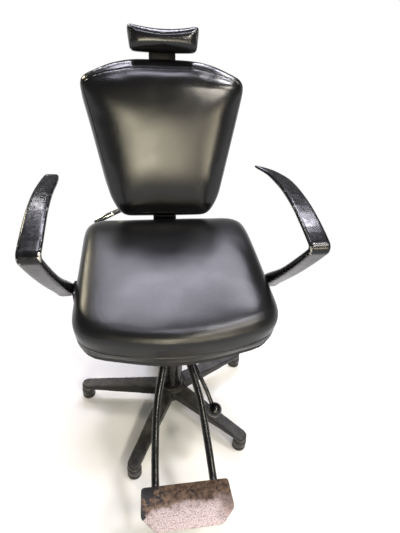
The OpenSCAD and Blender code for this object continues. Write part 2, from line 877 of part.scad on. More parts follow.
module board_screws() {
    color("#9c9c9c")
        each_board_screw() {
            translate([0, 0, rail_z - board_screw_d / 2])
                cylinder(h = board_screw_d / 2, d = 2 * board_screw_d);
            translate([0, 0, rail_z]) cylinder(h = rail_h + seat_board_t - 5, d = board_screw_d);
        }
}

module seat_board() {
    color("#2c241d")
        difference() {
            translate([0, 0, board_z]) panel(seat_outline, seat_middle, seat_board_inset, seat_board_t);
            each_board_screw()
                translate([0, 0, board_z - 1]) cylinder(h = seat_board_t - 3, d = board_screw_hole_d);
        }
}

module seat_cushion() {
    color("#0c0c0d")
        translate([0, 0, cushion_z])
            cushion(seat_outline, seat_middle,
                cushion_profile(seat_cushion_t, seat_crown, 12, seat_cushion_t * 0.5, 44, 215));
}

// The outer face of the steel angle, which an arm's foot is bolted to
angle_gap = 9.4;
foot_share = (arm_foot_y + seat_corner_y) / (seat_rear_y + seat_corner_y);
seat_side_x = (seat_w_front + (seat_w_rear - seat_w_front) * foot_share) / 2;
angle_out_x = seat_side_x + angle_gap;
arm_x = angle_out_x + arm_out;
arm_foot_z = board_z + arm_foot_up;
arm_bolt_z = board_z + 8;
arm_pad_t = 12;
arm_pad_w = arm_angle_w - 6;
arm_pad_foot = board_z - 2;
arm_pad_top = arm_foot_z + 24;
arm_bolt_gap = arm_angle_w - 26;

module each_arm_bolt() {
    for (y = [-arm_bolt_gap / 2, arm_bolt_gap / 2])
        translate([0, arm_foot_y + y, arm_bolt_z]) rotate([0, 90, 0]) children();
}

module arm_angles() {
    rail_out = (rail_spacing + rail_w) / 2;
    color("#55565a")
        for (side = [0, 1])
            mirror([side, 0, 0])
                difference() {
                    union() {
                        block([rail_out, arm_foot_y - arm_angle_w / 2, board_z - arm_angle_t],
                            [angle_out_x, arm_foot_y + arm_angle_w / 2, board_z]);
                        block([angle_out_x - arm_angle_t, arm_foot_y - arm_angle_w / 2, board_z - arm_angle_t],
                            [angle_out_x, arm_foot_y + arm_angle_w / 2, arm_pad_top]);
                    }
                    each_arm_bolt() cylinder(h = 2 * seat_w_front, d = bolt_hole_d);
                }
}

// Bend at the front corner of an arm: its radius, where it starts, how far it turns and its middle
arm_bend_r = 11;
arm_bend_from = 195;
arm_bend_turn = 109;
arm_bend_mid = [11 - arm_front_y, arm_top_z - 35];

// Stations of an arm's top, from its tip to the front corner: [x, y, z, width, thickness]
function arm_top_stations(hook) =
    let (
        tip_w = arm_w * 0.62 * (1 - hook / 52) + 3,
        tip = [arm_x - 4 - hook * 1.18, arm_tip_y - 20 + hook * 1.38]
    )
    [
        [tip[0] - hook * 0.1, tip[1] + 4, arm_top_z, tip_w * 0.6, arm_t * 0.4],
        [tip[0], tip[1], arm_top_z, tip_w, arm_t * 0.55],
        [arm_x - 3 - hook * 0.42, arm_tip_y - 30 + hook * 0.75, arm_top_z - 2,
            arm_w * 0.8 - hook * 0.3, arm_t * 0.75],
        [arm_x - 1, arm_tip_y - 60, arm_top_z - 2, arm_w * 0.88, arm_t * 0.95],
        [arm_x + 3, arm_tip_y * 0.36, arm_top_z, arm_w * 0.93, arm_t],
        [arm_x + 3, -10, arm_top_z - 3, arm_w * 0.97, arm_t],
        [arm_x + 1, -arm_front_y * 0.62, arm_top_z - 13, arm_w, arm_t],
        arm_bend_station(0),
    ];

// Station part of the way round the front corner's bend
function arm_bend_station(share) =
    let (a = arm_bend_from + arm_bend_turn * share - 90)
    [arm_x + 1 - share, arm_bend_mid[0] + arm_bend_r * cos(a), arm_bend_mid[1] + arm_bend_r * sin(a),
        arm_w, arm_t + 3 * share];

// Stations of an arm's strut, from the front corner down to its foot
arm_strut_stations = [
    arm_bend_station(1),
    [arm_x - 2, -arm_front_y * 0.655, arm_top_z - 108, arm_w * 0.97, arm_t + 7],
    [arm_x - 8, -arm_front_y * 0.245, arm_top_z - 187, arm_w * 0.92, arm_t + 11],
    [angle_out_x + 34, arm_foot_y - 15, arm_foot_z + 31, arm_w * 0.93, arm_t + 24],
    [angle_out_x + 31, arm_foot_y + 13, arm_foot_z - 6, arm_w * 1.02, arm_t + 29],
];

// Rounded section of an arm at one station, across the direction of travel
function arm_ring(here, dir) =
    let (
        across = unit([1, 0, 0] - dir * dir[0]),
        out = cross(dir, across),
        middle = [here[0], here[1], here[2]],
        round_by = 0.34
    )
    [for (corner = [[1, 1], [-1, 1], [-1, -1], [1, -1]], k = [0 : 2])
        let (
            cut = round_by * here[4],
            lead = corner[0] * corner[1] > 0 ? k / 2 : 1 - k / 2,
            w = here[3] / 2 - cut * (1 - cos(90 * lead)),
            t = here[4] / 2 - cut * (1 - sin(90 * lead))
        )
        middle + across * corner[0] * w + out * corner[1] * t];

// One arm on the +X side
module cast_arm(hook) {
    route = concat(
        smooth(arm_top_stations(hook), 3),
        [for (k = [1 : 5]) arm_bend_station(k / 6)],
        smooth(arm_strut_stations, 3)
    );
    difference() {
        union() {
            skin([
                for (i = [0 : len(route) - 1])
                    let (
                        before = route[i] - route[max(i - 1, 0)],
                        after = route[min(i + 1, len(route) - 1)] - route[i],
                        dir = (i == 0 ? [0, 0, 0] : unit([before[0], before[1], before[2]]))
                            + (i == len(route) - 1 ? [0, 0, 0] : unit([after[0], after[1], after[2]]))
                    )
                    arm_ring(route[i], unit(dir))
            ]);
            block([angle_out_x + seat_fit, arm_foot_y - arm_pad_w / 2, arm_pad_foot],
                [angle_out_x + arm_pad_t, arm_foot_y + arm_pad_w / 2, arm_pad_top - 4]);
        }
        block([0, -arm_tip_y, 0], [angle_out_x + seat_fit, arm_tip_y, arm_pad_top + 2 * arm_w]);
        block([angle_out_x + arm_pad_t, -arm_tip_y, 0], [2 * arm_x, arm_tip_y, arm_foot_z]);
        block([0, -arm_tip_y, 0], [2 * arm_x, arm_tip_y, arm_pad_foot]);
        each_arm_bolt() cylinder(h = angle_out_x + arm_pad_t - 2, d = bolt_hole_d);
    }
}

module right_arm() {
    color("#141416") cast_arm(right_hook);
}

module left_arm() {
    color("#141416") mirror([1, 0, 0]) cast_arm(left_hook);
}

module arm_bolts() {
    color("#8b8b8b")
        for (side = [0, 1])
            mirror([side, 0, 0])
                each_arm_bolt()
                    hex_bolt(angle_out_x - arm_angle_t, frame_bolt_d, arm_angle_t + arm_pad_t - 4);
}

// Route of the right-hand footrest tube, from the clamp under the seat to the footplate
foot_tube_top = [20, -52, ram_top + 5];
foot_tube_z = footplate_z - footplate_t - foot_tube_d / 2 - 0.5;
foot_tube_route = [
    foot_tube_top,
    foot_tube_top + [18, -81, -57],
    [foot_tube_spacing / 2 - 15, -0.54 * footplate_back_y, foot_tube_z + 102],
    [foot_tube_spacing / 2 - 5, -0.745 * footplate_back_y, foot_tube_z + 44],
    [foot_tube_spacing / 2, -0.955 * footplate_back_y, foot_tube_z + 4],
    [foot_tube_spacing / 2, -footplate_back_y - 22, foot_tube_z],
    [foot_tube_spacing / 2, -footplate_back_y - 76, foot_tube_z],
];

// The block that holds the upper ends of the footrest tubes against the swivel hub
clamp_w = 92;
clamp_front_y = 76;
clamp_back_y = 24;

module footrest_clamp() {
    slope = foot_tube_route[1] - foot_tube_top;
    along = unit(slope);
    low = swivel_z - 8;
    color("#202024")
        difference() {
            block([-clamp_w / 2, -clamp_front_y, low],
                [clamp_w / 2, -clamp_back_y, swivel_top - flange_t - apart]);
            translate([0, 0, low - 1]) cylinder(h = 2 * swivel_h, d = swivel_d + 2 * seat_fit);
            for (side = [0, 1])
                mirror([side, 0, 0])
                    translate(foot_tube_top - along * 2)
                        rotate([0, acos(along[2]), atan2(along[1], along[0])])
                            cylinder(h = clamp_w, d = foot_tube_d + 2 * seat_fit);
            each_flange_bolt() translate([0, 0, low - 1]) cylinder(h = drill_l, d = 2 * frame_bolt_d + 1);
        }
}

module footrest_tubes() {
    color("#0f0f11")
        for (side = [0, 1])
            mirror([side, 0, 0]) tube(smooth(foot_tube_route, tube_steps), foot_tube_d);
}

module footplate() {
    w = footplate_w / 2;
    back = -footplate_back_y;
    front = back - footplate_l;
    color("#7c6a66")
        translate([0, 0, footplate_z - footplate_t])
            linear_extrude(height = footplate_t)
                polygon(bent_outline([
                    [w - 3, back, 8], [-w + 3, back, 8],
                    [-w, front + footplate_chamfer, 8], [-w + footplate_chamfer, front, 12],
                    [w - footplate_chamfer, front, 12], [w, front + footplate_chamfer, 8],
                ], 4, 1));
}

saddle_y = -footplate_back_y - 50;
saddle_w = 54;
saddle_l = 36;
saddle_bolt_x = (foot_tube_d + saddle_w) / 4 + 0.5;

// Runs its children at each bolt of the two saddles
module each_saddle_bolt() {
    for (x = [-1, 1], dx = [-saddle_bolt_x, saddle_bolt_x])
        translate([x * foot_tube_spacing / 2 + dx, saddle_y, 0]) children();
}

module plate_saddles() {
    top = footplate_z - footplate_t;
    color("#1d1d20")
        difference() {
            for (x = [-1, 1])
                translate([x * foot_tube_spacing / 2, saddle_y, 0])
                    block([-saddle_w / 2, -saddle_l / 2, foot_tube_z], [saddle_w / 2, saddle_l / 2, top]);
            for (x = [-1, 1])
                translate([x * foot_tube_spacing / 2, saddle_y + saddle_l, foot_tube_z])
                    rotate([90, 0, 0]) cylinder(h = 2 * saddle_l, d = foot_tube_d + 2 * seat_fit);
            each_saddle_bolt()
                translate([0, 0, foot_tube_z - 1]) cylinder(h = drill_l, d = saddle_bolt_d + 2 * seat_fit);
        }
}

module saddle_bolts() {
    color("#8b8b8b")
        each_saddle_bolt() hex_bolt(foot_tube_z, saddle_bolt_d, footplate_z - footplate_t - foot_tube_z);
}

hinge_w = back_strip_w + 2 * apart;

module hinge_bracket() {
    color("#1d1d20")
        difference() {
            union() {
                block([-centre_plate_w / 2 + 8, hinge_plate_front, swivel_top],
                    [centre_plate_w / 2 - 8, hinge_plate_back, rail_z]);
                for (side = [-1, 1])
                    translate([side * (hinge_w + hinge_ear_t) / 2, 0, 0]) {
                        block([-hinge_ear_t / 2, hinge_plate_front + 10, rail_z],
                            [hinge_ear_t / 2, recline_y, board_z - 2]);
                        cross_bar(recline_y, recline_z, 2 * hinge_ear_r, hinge_ear_t);
                    }
            }
            cross_bar(recline_y, recline_z, recline_pin_d + 2 * run, 2 * hinge_w);
            each_frame_bolt() translate([0, 0, swivel_z]) cylinder(h = drill_l, d = bolt_hole_d);
        }
}

module recline_pin() {
    color("#bdbdc0")
        cross_bar(recline_y, recline_z, recline_pin_d, hinge_w + 2 * hinge_ear_t + 6);
}

module strut_bracket() {
    inner = strut_eye_w / 2 + apart;
    color("#202024")
        difference() {
            union() {
                block([-inner - strut_ear_t, flange_d / 2 + 8, swivel_top - plate_t],
                    [inner + strut_ear_t, centre_plate_l / 2, swivel_top]);
                for (side = [-1, 1])
                    translate([side * (inner + strut_ear_t / 2), 0, 0]) {
                        block([-strut_ear_t / 2, flange_d / 2 + 8, strut_front[1] - strut_eye_r],
                            [strut_ear_t / 2, strut_front[0], swivel_top]);
                        cross_bar(strut_front[0], strut_front[1], 2 * strut_eye_r, strut_ear_t);
                    }
            }
            cross_bar(strut_front[0], strut_front[1], strut_pin_d + 2 * run, drill_l);
        }
}

module strut_front_pin() {
    color("#bdbdc0")
        cross_bar(strut_front[0], strut_front[1], strut_pin_d, strut_eye_w + 2 * strut_ear_t + 4);
}

// Runs its children from the gas spring's front pin, with +X towards its rear pin
module on_strut() {
    translate([0, strut_front[0], strut_front[1]]) rotate([0, 0, 90]) rotate([0, -strut_angle, 0]) children();
}

// Round bar along the gas spring, from one distance to another
module strut_bar(from, to, d) {
    translate([from, 0, 0]) rotate([0, 90, 0]) cylinder(h = to - from, d = d);
}

module strut_eye() {
    translate([0, strut_eye_w / 2, 0]) rotate([90, 0, 0]) cylinder(h = strut_eye_w, r = strut_eye_r);
}

module strut_eye_bore() {
    translate([0, drill_l / 2, 0]) rotate([90, 0, 0]) cylinder(h = drill_l, d = strut_pin_d + 2 * run);
}

module gas_cylinder() {
    start = strut_eye_r + 5;
    color("#0e0e10")
        on_strut()
            difference() {
                union() {
                    strut_eye();
                    strut_bar(0, start + 2, 12);
                    strut_bar(start, start + strut_cylinder_l, strut_d);
                }
                strut_bar(start + 4, start + strut_cylinder_l - 5, strut_d - 4);
                // The mouth is wide, because the rod swings a little as the spring closes
                strut_bar(start + 10, start + strut_cylinder_l + 1, strut_rod_d + 7);
                strut_eye_bore();
            }
}

module gas_rod() {
    inside = strut_eye_r + 5 + strut_cylinder_l - 18;
    color("#c4c4c8")
        on_strut()
            difference() {
                union() {
                    translate([strut_l, 0, 0]) strut_eye();
                    strut_bar(strut_l - strut_eye_r - 8, strut_l, 13);
                    strut_bar(inside, strut_l, strut_rod_d);
                }
                translate([strut_l, 0, 0]) strut_eye_bore();
            }
}

strip_foot_z = 6;
strip_bolt_x = back_strip_w / 2 - 14;

// Runs its children at each bolt of the strip, pointing straight out behind the back
module each_strip_bolt() {
    for (x = [-strip_bolt_x, strip_bolt_x], z = [60, back_strip_h - 24])
        on_back() translate([x, 0, z]) rotate([-90, 0, 0]) children();
}

// Outline of the bent strip in the side view, through p0, its bend p1 and p2
function strip_profile(p0, p1, p2, t) =
    let (
        d1 = unit(p1 - p0),
        d2 = unit(p2 - p1),
        n1 = [d1[1], -d1[0]] * t / 2,
        n2 = [d2[1], -d2[0]] * t / 2,
        corner = (n1 + n2) / (1 + d1 * d2)
    )
    [p0 + n1, p1 + corner, p2 + n2, p2 - n2, p1 - corner, p0 - n1];

// Point on the strip's middle plane at a height up the back, in the side view
function strip_point(up) = [
    back_y + (strip_y + back_strip_t / 2) * cos(back_lean) + up * sin(back_lean),
    back_z - (strip_y + back_strip_t / 2) * sin(back_lean) + up * cos(back_lean),
];

module back_strip() {
    inner = strut_eye_w / 2 + apart;
    // The web of each ear stops short of the pin's bore, lower and thinner than the ear
    web_h = 2 * strut_eye_r - 4;
    web_l = strut_arm - strut_pin_d / 2 - 0.5;
    web_t = strut_ear_t - 1;
    color("#1a1a1d")
        difference() {
            union() {
                cross_bar(recline_y, recline_z, 2 * hinge_ear_r - 2, back_strip_w);
                translate([-back_strip_w / 2, 0, 0])
                    rotate([90, 0, 90])
                        linear_extrude(height = back_strip_w)
                            polygon(strip_profile([recline_y, recline_z], strip_point(strip_foot_z),
                                strip_point(back_strip_h), back_strip_t));
                for (side = [-1, 1])
                    translate([side * (inner + strut_ear_t / 2), 0, 0]) {
                        cross_bar(strut_rear[0], strut_rear[1], 2 * strut_eye_r, strut_ear_t);
                        translate([-web_t / 2, recline_y, recline_z])
                            rotate([atan2(strut_rear[1] - recline_z, strut_rear[0] - recline_y), 0, 0])
                                translate([0, 0, -web_h / 2]) cube([web_t, web_l, web_h]);
                    }
            }
            cross_bar(recline_y, recline_z, recline_pin_d + 2 * run, 2 * hinge_w);
            cross_bar(strut_rear[0], strut_rear[1], strut_pin_d + 2 * run, drill_l);
            each_strip_bolt() cylinder(h = drill_l, d = bolt_hole_d);
        }
}

module strut_rear_pin() {
    color("#bdbdc0")
        cross_bar(strut_rear[0], strut_rear[1], strut_pin_d, strut_eye_w + 2 * strut_ear_t + 4);
}

module strip_bolts() {
    color("#8b8b8b")
        each_strip_bolt()
            translate([0, 0, strip_y + back_strip_t])
                mirror([0, 0, 1]) hex_bolt(0, frame_bolt_d, back_strip_t + back_cover_t + back_board_t - 2);
}

module back_board() {
    color("#6d5337")
        difference() {
            facing_sitter(cover_y) panel(back_outline, back_middle, back_board_inset, back_board_t);
            each_strip_bolt()
                translate([0, 0, back_belly_y + 1]) cylinder(h = drill_l, d = bolt_hole_d);
            each_socket_screw()
                translate([0, 0, back_belly_y + 3]) cylinder(h = drill_l, d = socket_screw_d + 2 * seat_fit);
            on_release()
                translate([0, 0, cover_y - 7]) cylinder(h = drill_l, d = release_pin_d + 2 * seat_fit);
        }
}

module back_cushion() {
    color("#0c0c0d")
        facing_sitter(back_belly_y)
            cushion(back_outline, back_middle,
                cushion_profile(back_cushion_t, back_crown, 10, back_cushion_t * 0.42, 42, 190));
}

module back_cover() {
    color("#131315")
        difference() {
            facing_sitter(strip_y) panel(back_outline, back_middle, back_board_inset + 4, back_cover_t);
            each_strip_bolt() cylinder(h = drill_l, d = bolt_hole_d);
            each_socket_screw() cylinder(h = drill_l, d = socket_screw_d + 2 * seat_fit);
            on_release() cylinder(h = drill_l, d = release_pin_d + 2 * seat_fit);
        }
}

socket_w = headrest_bar_w + 28;
socket_screw_x = socket_w / 2 - 6;

// Runs its children at each screw of the headrest's socket, pointing out behind the back
module each_socket_screw() {
    for (x = [-socket_screw_x, socket_screw_x], z = [14, headrest_socket_h - 14])
        on_back() translate([x, 0, socket_z + z]) rotate([-90, 0, 0]) children();
}

clamp_z = socket_z + headrest_socket_h / 2;
clamp_screw_d = 8;
clamp_screw_l = 30;
clamp_knob_h = 18;
clamp_lobe_d = 9;

module headrest_socket() {
    color("#18181b")
        union() {
            difference() {
                on_back()
                    block([-socket_w / 2, strip_y, socket_z],
                        [socket_w / 2, socket_back_y, socket_z + headrest_socket_h]);
                on_back()
                    block([-headrest_bar_w / 2 - bar_clear, bar_y - bar_clear, socket_z - 1],
                        [headrest_bar_w / 2 + bar_clear, bar_y + headrest_bar_t + bar_clear,
                            socket_z + headrest_socket_h + 1]);
                on_back()
                    translate([0, bar_mid_y, clamp_z])
                        rotate([-90, 0, 0]) cylinder(h = drill_l, d = clamp_screw_d + 2 * run);
                each_socket_screw() cylinder(h = strip_y + 8, d = socket_screw_d + 2 * seat_fit);
            }
            // The screws' heads and shanks are one with the socket's flanges
            each_socket_screw()
                translate([0, 0, back_belly_y + 4])
                    cylinder(h = strip_y - back_belly_y + 6, d = socket_screw_d);
        }
}

// The recline lever: a flat blade that hangs from a pin near the back's lower left corner, and its grip
release_pin_d = 10;
release_at = [55 - back_w_foot / 2, 42];
release_angle = 25;
release_l = 166;
release_w = 16;
release_t = 4;
release_grip_l = 64;
release_grip_d = 19;
release_grip_lap = 24;

// Places its children on the release lever's pivot, with +Z straight out behind the back
module on_release() {
    on_back() translate([release_at[0], 0, release_at[1]]) rotate([-90, 0, 0]) children();
}

module release_lever() {
    color("#cfcfd2")
        union() {
            on_release() {
                translate([0, 0, cover_y - 6]) cylinder(h = 6 + back_cover_t + apart + 1, d = release_pin_d);
                translate([0, 0, strip_y + apart]) cylinder(h = release_t + 1, d = 26);
            }
            on_back()
                translate([release_at[0], strip_y + apart, release_at[1]])
                    rotate([0, 180 - release_angle, 0])
                        block([0, 0, -release_w / 2],
                            [release_l - release_grip_l + release_grip_lap, release_t, release_w / 2]);
        }
}

module release_grip() {
    color("#d8d8da")
        on_back()
            translate([release_at[0], strip_y + apart + release_t / 2, release_at[1]])
                rotate([0, 180 - release_angle, 0])
                    translate([release_l - release_grip_l, 0, 0])
                        difference() {
                            rotate([0, 90, 0]) cylinder(h = release_grip_l, d = release_grip_d);
                            block([-1, -release_t / 2 - seat_fit, -release_w / 2 - seat_fit],
                                [release_grip_lap + seat_fit, release_t / 2 + seat_fit,
                                    release_w / 2 + seat_fit]);
                        }
}

module clamp_knob() {
    color("#0f0f10")
        on_back()
            translate([0, bar_y + headrest_bar_t + bar_clear, clamp_z])
                rotate([-90, 0, 0])
                    difference() {
                        union() {
                            cylinder(h = clamp_screw_l, d = clamp_screw_d);
                            translate([0, 0, 8 + apart]) {
                                cylinder(h = clamp_knob_h, d = clamp_knob_d);
                                for (k = [0 : 5])
                                    rotate([0, 0, 60 * k])
                                        translate([clamp_knob_d / 2 - 2, 0, 0])
                                            cylinder(h = clamp_knob_h, d = clamp_lobe_d);
                            }
                        }
                        translate([0, 0, clamp_screw_l - 3]) cylinder(h = 10, d = clamp_screw_d + 6);
                    }
}

module headrest_bar() {
    knuckle_w = headrest_bar_w - 30;
    color("#141417")
        on_back()
            difference() {
                union() {
                    block([-headrest_bar_w / 2, bar_y, headrest_bar_foot],
                        [headrest_bar_w / 2, bar_y + headrest_bar_t, tilt_z - tilt_r - 4]);
                    block([-knuckle_w / 2, bar_y, tilt_z - tilt_r - 5],
                        [knuckle_w / 2, bar_y + headrest_bar_t, tilt_z]);
                    cross_bar(bar_mid_y, tilt_z, 2 * tilt_r, knuckle_w);
                }
                cross_bar(bar_mid_y, tilt_z, tilt_pin_d + 2 * run, 2 * headrest_bar_w);
            }
}

tilt_ear_t = 6;
tilt_ear_x = (headrest_bar_w - 30) / 2 + apart;

module tilt_pin() {
    color("#bdbdc0")
        on_back() cross_bar(bar_mid_y, tilt_z, tilt_pin_d, 2 * (tilt_ear_x + tilt_ear_t + 2));
}

module headrest_bracket() {
    face = headrest_belly_y + headrest_board_t;
    color("#18181b")
        on_back()
            difference() {
                union() {
                    block([-tilt_ear_x - tilt_ear_t - 14, face, tilt_z - 16],
                        [tilt_ear_x + tilt_ear_t + 14, face + 4, tilt_z + 16]);
                    for (side = [-1, 1])
                        translate([side * (tilt_ear_x + tilt_ear_t / 2), 0, 0]) {
                            block([-tilt_ear_t / 2, face, tilt_z - tilt_r],
                                [tilt_ear_t / 2, bar_mid_y, tilt_z + tilt_r]);
                            cross_bar(bar_mid_y, tilt_z, 2 * tilt_r, tilt_ear_t);
                        }
                }
                cross_bar(bar_mid_y, tilt_z, tilt_pin_d + 2 * run, 2 * headrest_bar_w);
            }
}

module headrest_board() {
    color("#6d5337")
        facing_sitter(headrest_belly_y + headrest_board_t)
            panel(headrest_outline, headrest_middle, 8, headrest_board_t);
}

module headrest_cushion() {
    color("#0c0c0d")
        facing_sitter(headrest_belly_y)
            cushion(headrest_outline, headrest_middle,
                cushion_profile(headrest_t, 5, 5, headrest_t * 0.5, 14, 25));
}

star_base();
hub_ring();
floor_glides();
glide_studs();
glide_washers();
base_bolt();
pump_housing();
pump_foot();
inner_cylinder();
pump_head();
gland_bush();
rod_wiper();
lever_pin();
pump_plunger();
lever_fork();
lever_rod();
lever_knob();
lift_ram();
ram_piston();
piston_seal();
thrust_bearing();
swivel_hub();
centre_plate();
frame_rails();
frame_bolts();
flange_bolts();
board_screws();
seat_board();
seat_cushion();
arm_angles();
left_arm();
right_arm();
arm_bolts();
footrest_clamp();
footrest_tubes();
footplate();
plate_saddles();
saddle_bolts();
hinge_bracket();
recline_pin();
strut_bracket();
strut_front_pin();
gas_cylinder();
gas_rod();
back_strip();
strut_rear_pin();
back_board();
back_cushion();
back_cover();
strip_bolts();
headrest_socket();
release_lever();
release_grip();
clamp_knob();
headrest_bar();
tilt_pin();
headrest_bracket();
headrest_board();
headrest_cushion();
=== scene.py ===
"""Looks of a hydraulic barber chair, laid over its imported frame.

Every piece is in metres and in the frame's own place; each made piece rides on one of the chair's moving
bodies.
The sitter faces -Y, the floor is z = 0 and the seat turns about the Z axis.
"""

import logging
import math
from collections.abc import Iterable
from dataclasses import dataclass
from enum import Enum

import bmesh
import bpy
from mathutils import Matrix, Vector, noise


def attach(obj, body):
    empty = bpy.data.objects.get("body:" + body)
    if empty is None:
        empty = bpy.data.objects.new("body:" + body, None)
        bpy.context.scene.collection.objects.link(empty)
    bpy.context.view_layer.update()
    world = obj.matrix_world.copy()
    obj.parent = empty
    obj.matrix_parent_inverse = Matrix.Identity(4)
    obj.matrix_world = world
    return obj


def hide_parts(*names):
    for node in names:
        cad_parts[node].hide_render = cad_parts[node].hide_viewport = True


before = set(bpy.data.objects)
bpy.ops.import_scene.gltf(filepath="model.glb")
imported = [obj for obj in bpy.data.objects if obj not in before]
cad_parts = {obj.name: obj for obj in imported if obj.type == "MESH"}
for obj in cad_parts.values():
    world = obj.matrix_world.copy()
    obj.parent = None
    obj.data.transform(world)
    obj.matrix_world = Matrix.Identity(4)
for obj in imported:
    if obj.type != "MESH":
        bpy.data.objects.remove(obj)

log = logging.getLogger("barber_chair")

BMesh = bmesh.types.BMesh
Tree = bpy.types.NodeTree
Socket = bpy.types.NodeSocket
Span = tuple[float, float]

MM = 0.001
ACROSS = Vector((1, 0, 0))
WHITE = (1.0, 1.0, 1.0, 1.0)

# Node settings that many patterns share: a soft-ended range, a mix of two colours, a product, a maximum
SOFT = {"interpolation_type": "SMOOTHSTEP"}
COLOURS = {"data_type": "RGBA", "out": 2}
TIMES = {"operation": "MULTIPLY"}
MOST = {"operation": "MAXIMUM"}


class Body(Enum):
    """The moving bodies that dressed pieces ride on."""

    BASE = "base"
    PUMP_LEVER = "pump_lever"
    SEAT = "seat"
    GAS_CYLINDER = "gas_cylinder"
    BACK = "back"
    RELEASE = "release"
    CLAMP_KNOB = "clamp_knob"
    HEADREST_POST = "headrest_post"
    HEADREST = "headrest"


class Slot(Enum):
    """The record's material slots; pieces hold one in a field that nothing here reads."""

    BASE_PAINT = "base_paint"
    FRAME_PAINT = "frame_paint"
    ARM_PAINT = "arm_paint"
    CHROMED_STEEL = "chromed_steel"
    WORN_PLATE = "worn_plate"
    GLIDE_PLASTIC = "glide_plastic"
    KNOB_PLASTIC = "knob_plastic"
    BLACK_VINYL = "black_vinyl"
    COVER_PLASTIC = "cover_plastic"


def linear(code: str) -> tuple[float, float, float, float]:
    """Turns an sRGB hex colour to linear.

    Args:
        code: Colour such as "#1a2b3c".

    Returns:
        Linear red, green, blue and an alpha of 1.
    """
    parts = [int(code[i : i + 2], 16) / 255 for i in (1, 3, 5)]
    return (*(c / 12.92 if c <= 0.04045 else ((c + 0.055) / 1.055) ** 2.4 for c in parts), 1.0)


def add_node(tree: Tree, kind: str, *values: object, out: int | str = 0, **settings: object) -> Socket | None:
    """Adds a node with its settings and links.

    Args:
        tree: Tree that the node goes into.
        kind: Node type without its "ShaderNode", such as "Math".
        *values: Numbers, hex colours or sockets for its inputs in order, or one dict of input to value.
        out: Name or index of the output that is wanted.
        **settings: The node's own settings.

    Returns:
        The wanted output, or None from a node that ends the tree.
    """
    node = tree.nodes.new(f"ShaderNode{kind}")
    for name, value in settings.items():
        setattr(node, name, value)
    inputs = values[0] if values and isinstance(values[0], dict) else dict(enumerate(values))
    for socket, value in inputs.items():
        if isinstance(value, Socket):
            tree.links.new(value, node.inputs[socket])
        else:
            node.inputs[socket].default_value = linear(value) if isinstance(value, str) else value
    return node.outputs[out] if node.outputs else None


def clouds(tree: Tree, size: float, detail: float, span: Span | None = None, to: Span = (0.0, 1.0)) -> Socket:
    """Lays soft clouds over a surface, in the piece's own place.

    Args:
        tree: The material's nodes.
        size: Width of a cloud in millimetres.
        detail: How much finer structure it has.
        span: Two levels of the clouds, which lie mostly near 0.5.
        to: What these two levels become.

    Returns:
        The clouds, from 0 to 1 where no span is given.
    """
    place = add_node(tree, "TexCoord", out="Object")
    level = add_node(tree, "TexNoise", {"Vector": place, "Scale": 1 / (size * MM), "Detail": detail}, out="Fac")
    return add_node(tree, "MapRange", level, *span, *to, **SOFT) if span else level


@dataclass(frozen=True)
class Finish:
    """One material: what a piece is made of and how its surface was made."""

    name: str
    colour: str
    roughness: float
    metallic: float = 0.0
    specular: float = 0.5

    def material(self) -> bpy.types.Material:
        """The finish as a Blender material, made on its first use."""
        found = bpy.data.materials.get(self.name)
        if found:
            return found
        made = bpy.data.materials.new(self.name)
        made.use_nodes = True
        tree = made.node_tree
        tree.nodes.clear()
        plain = {
            "Base Color": self.colour,
            "Roughness": self.roughness,
            "Metallic": self.metallic,
            "Specular IOR Level": self.specular,
        }
        lit = add_node(tree, "BsdfPrincipled", plain)
        varied = self.pattern(tree)
        if "Height" in varied:
            bump = {"Height": varied.pop("Height"), "Strength": 1.0, "Distance": MM}
            varied["Normal"] = add_node(tree, "Bump", bump)
        for socket, value in varied.items():
            tree.links.new(value, lit.node.inputs[socket])
        add_node(tree, "OutputMaterial", self.shown(tree, lit))
        return made

    def pattern(self, tree: Tree) -> dict[str, Socket]:
        """What varies over the surface: nothing on a plain finish.

        Args:
            tree: The material's nodes.

        Returns:
            The shader's sockets and what feeds them, with "Height" for relief in millimetres.
        """
        return {}

    def shown(self, tree: Tree, lit: Socket) -> Socket:
        """What the surface shows: the lit shader as it is.

        Args:
            tree: The material's nodes.
            lit: The shader.

        Returns:
            What goes to the material's output.
        """
        return lit


@dataclass(frozen=True)
class Vinyl(Finish):
    """PVC-coated upholstery cloth, embossed with a leather grain and pulled tight over foam.

    Its glossy film gives soft-edged reflections that break up into fine speckle on the grain. The
    grain is drawn coarser than the real 1 mm so that it shows. Sizes in millimetres.
    """

    dulled: str = "#0f0f11"
    grain: float = 2.4
    grain_depth: float = 0.055
    wave: float = 85.0
    wave_depth: float = 0.0

    def pattern(self, tree: Tree) -> dict[str, Socket]:
        """Grain, slow waves of the foam below, and dulled patches.

        Args:
            tree: The material's nodes.

        Returns:
            Colour, roughness and height.
        """
        place = add_node(tree, "TexCoord", out="Object")
        pebbles = {"Vector": place, "Scale": 1 / (self.grain * MM), "Smoothness": 0.6}
        cells = add_node(tree, "TexVoronoi", pebbles, out="Distance", feature="SMOOTH_F1")
        grain = add_node(tree, "Math", cells, -self.grain_depth, **TIMES)
        grain = add_node(tree, "Math", grain, clouds(tree, 40, 2, (0.35, 0.65), (0.8, 1.15)), **TIMES)
        wave = add_node(tree, "Math", clouds(tree, self.wave, 1), self.wave_depth, **TIMES)
        dull = clouds(tree, 120, 5, (0.4, 0.8))
        return {
            "Base Color": add_node(tree, "Mix", {0: dull, 6: self.colour, 7: self.dulled}, **COLOURS),
            "Roughness": clouds(tree, 55, 4, (0.3, 0.7), (self.roughness - 0.015, self.roughness + 0.02)),
            "Height": add_node(tree, "Math", grain, wave),
        }


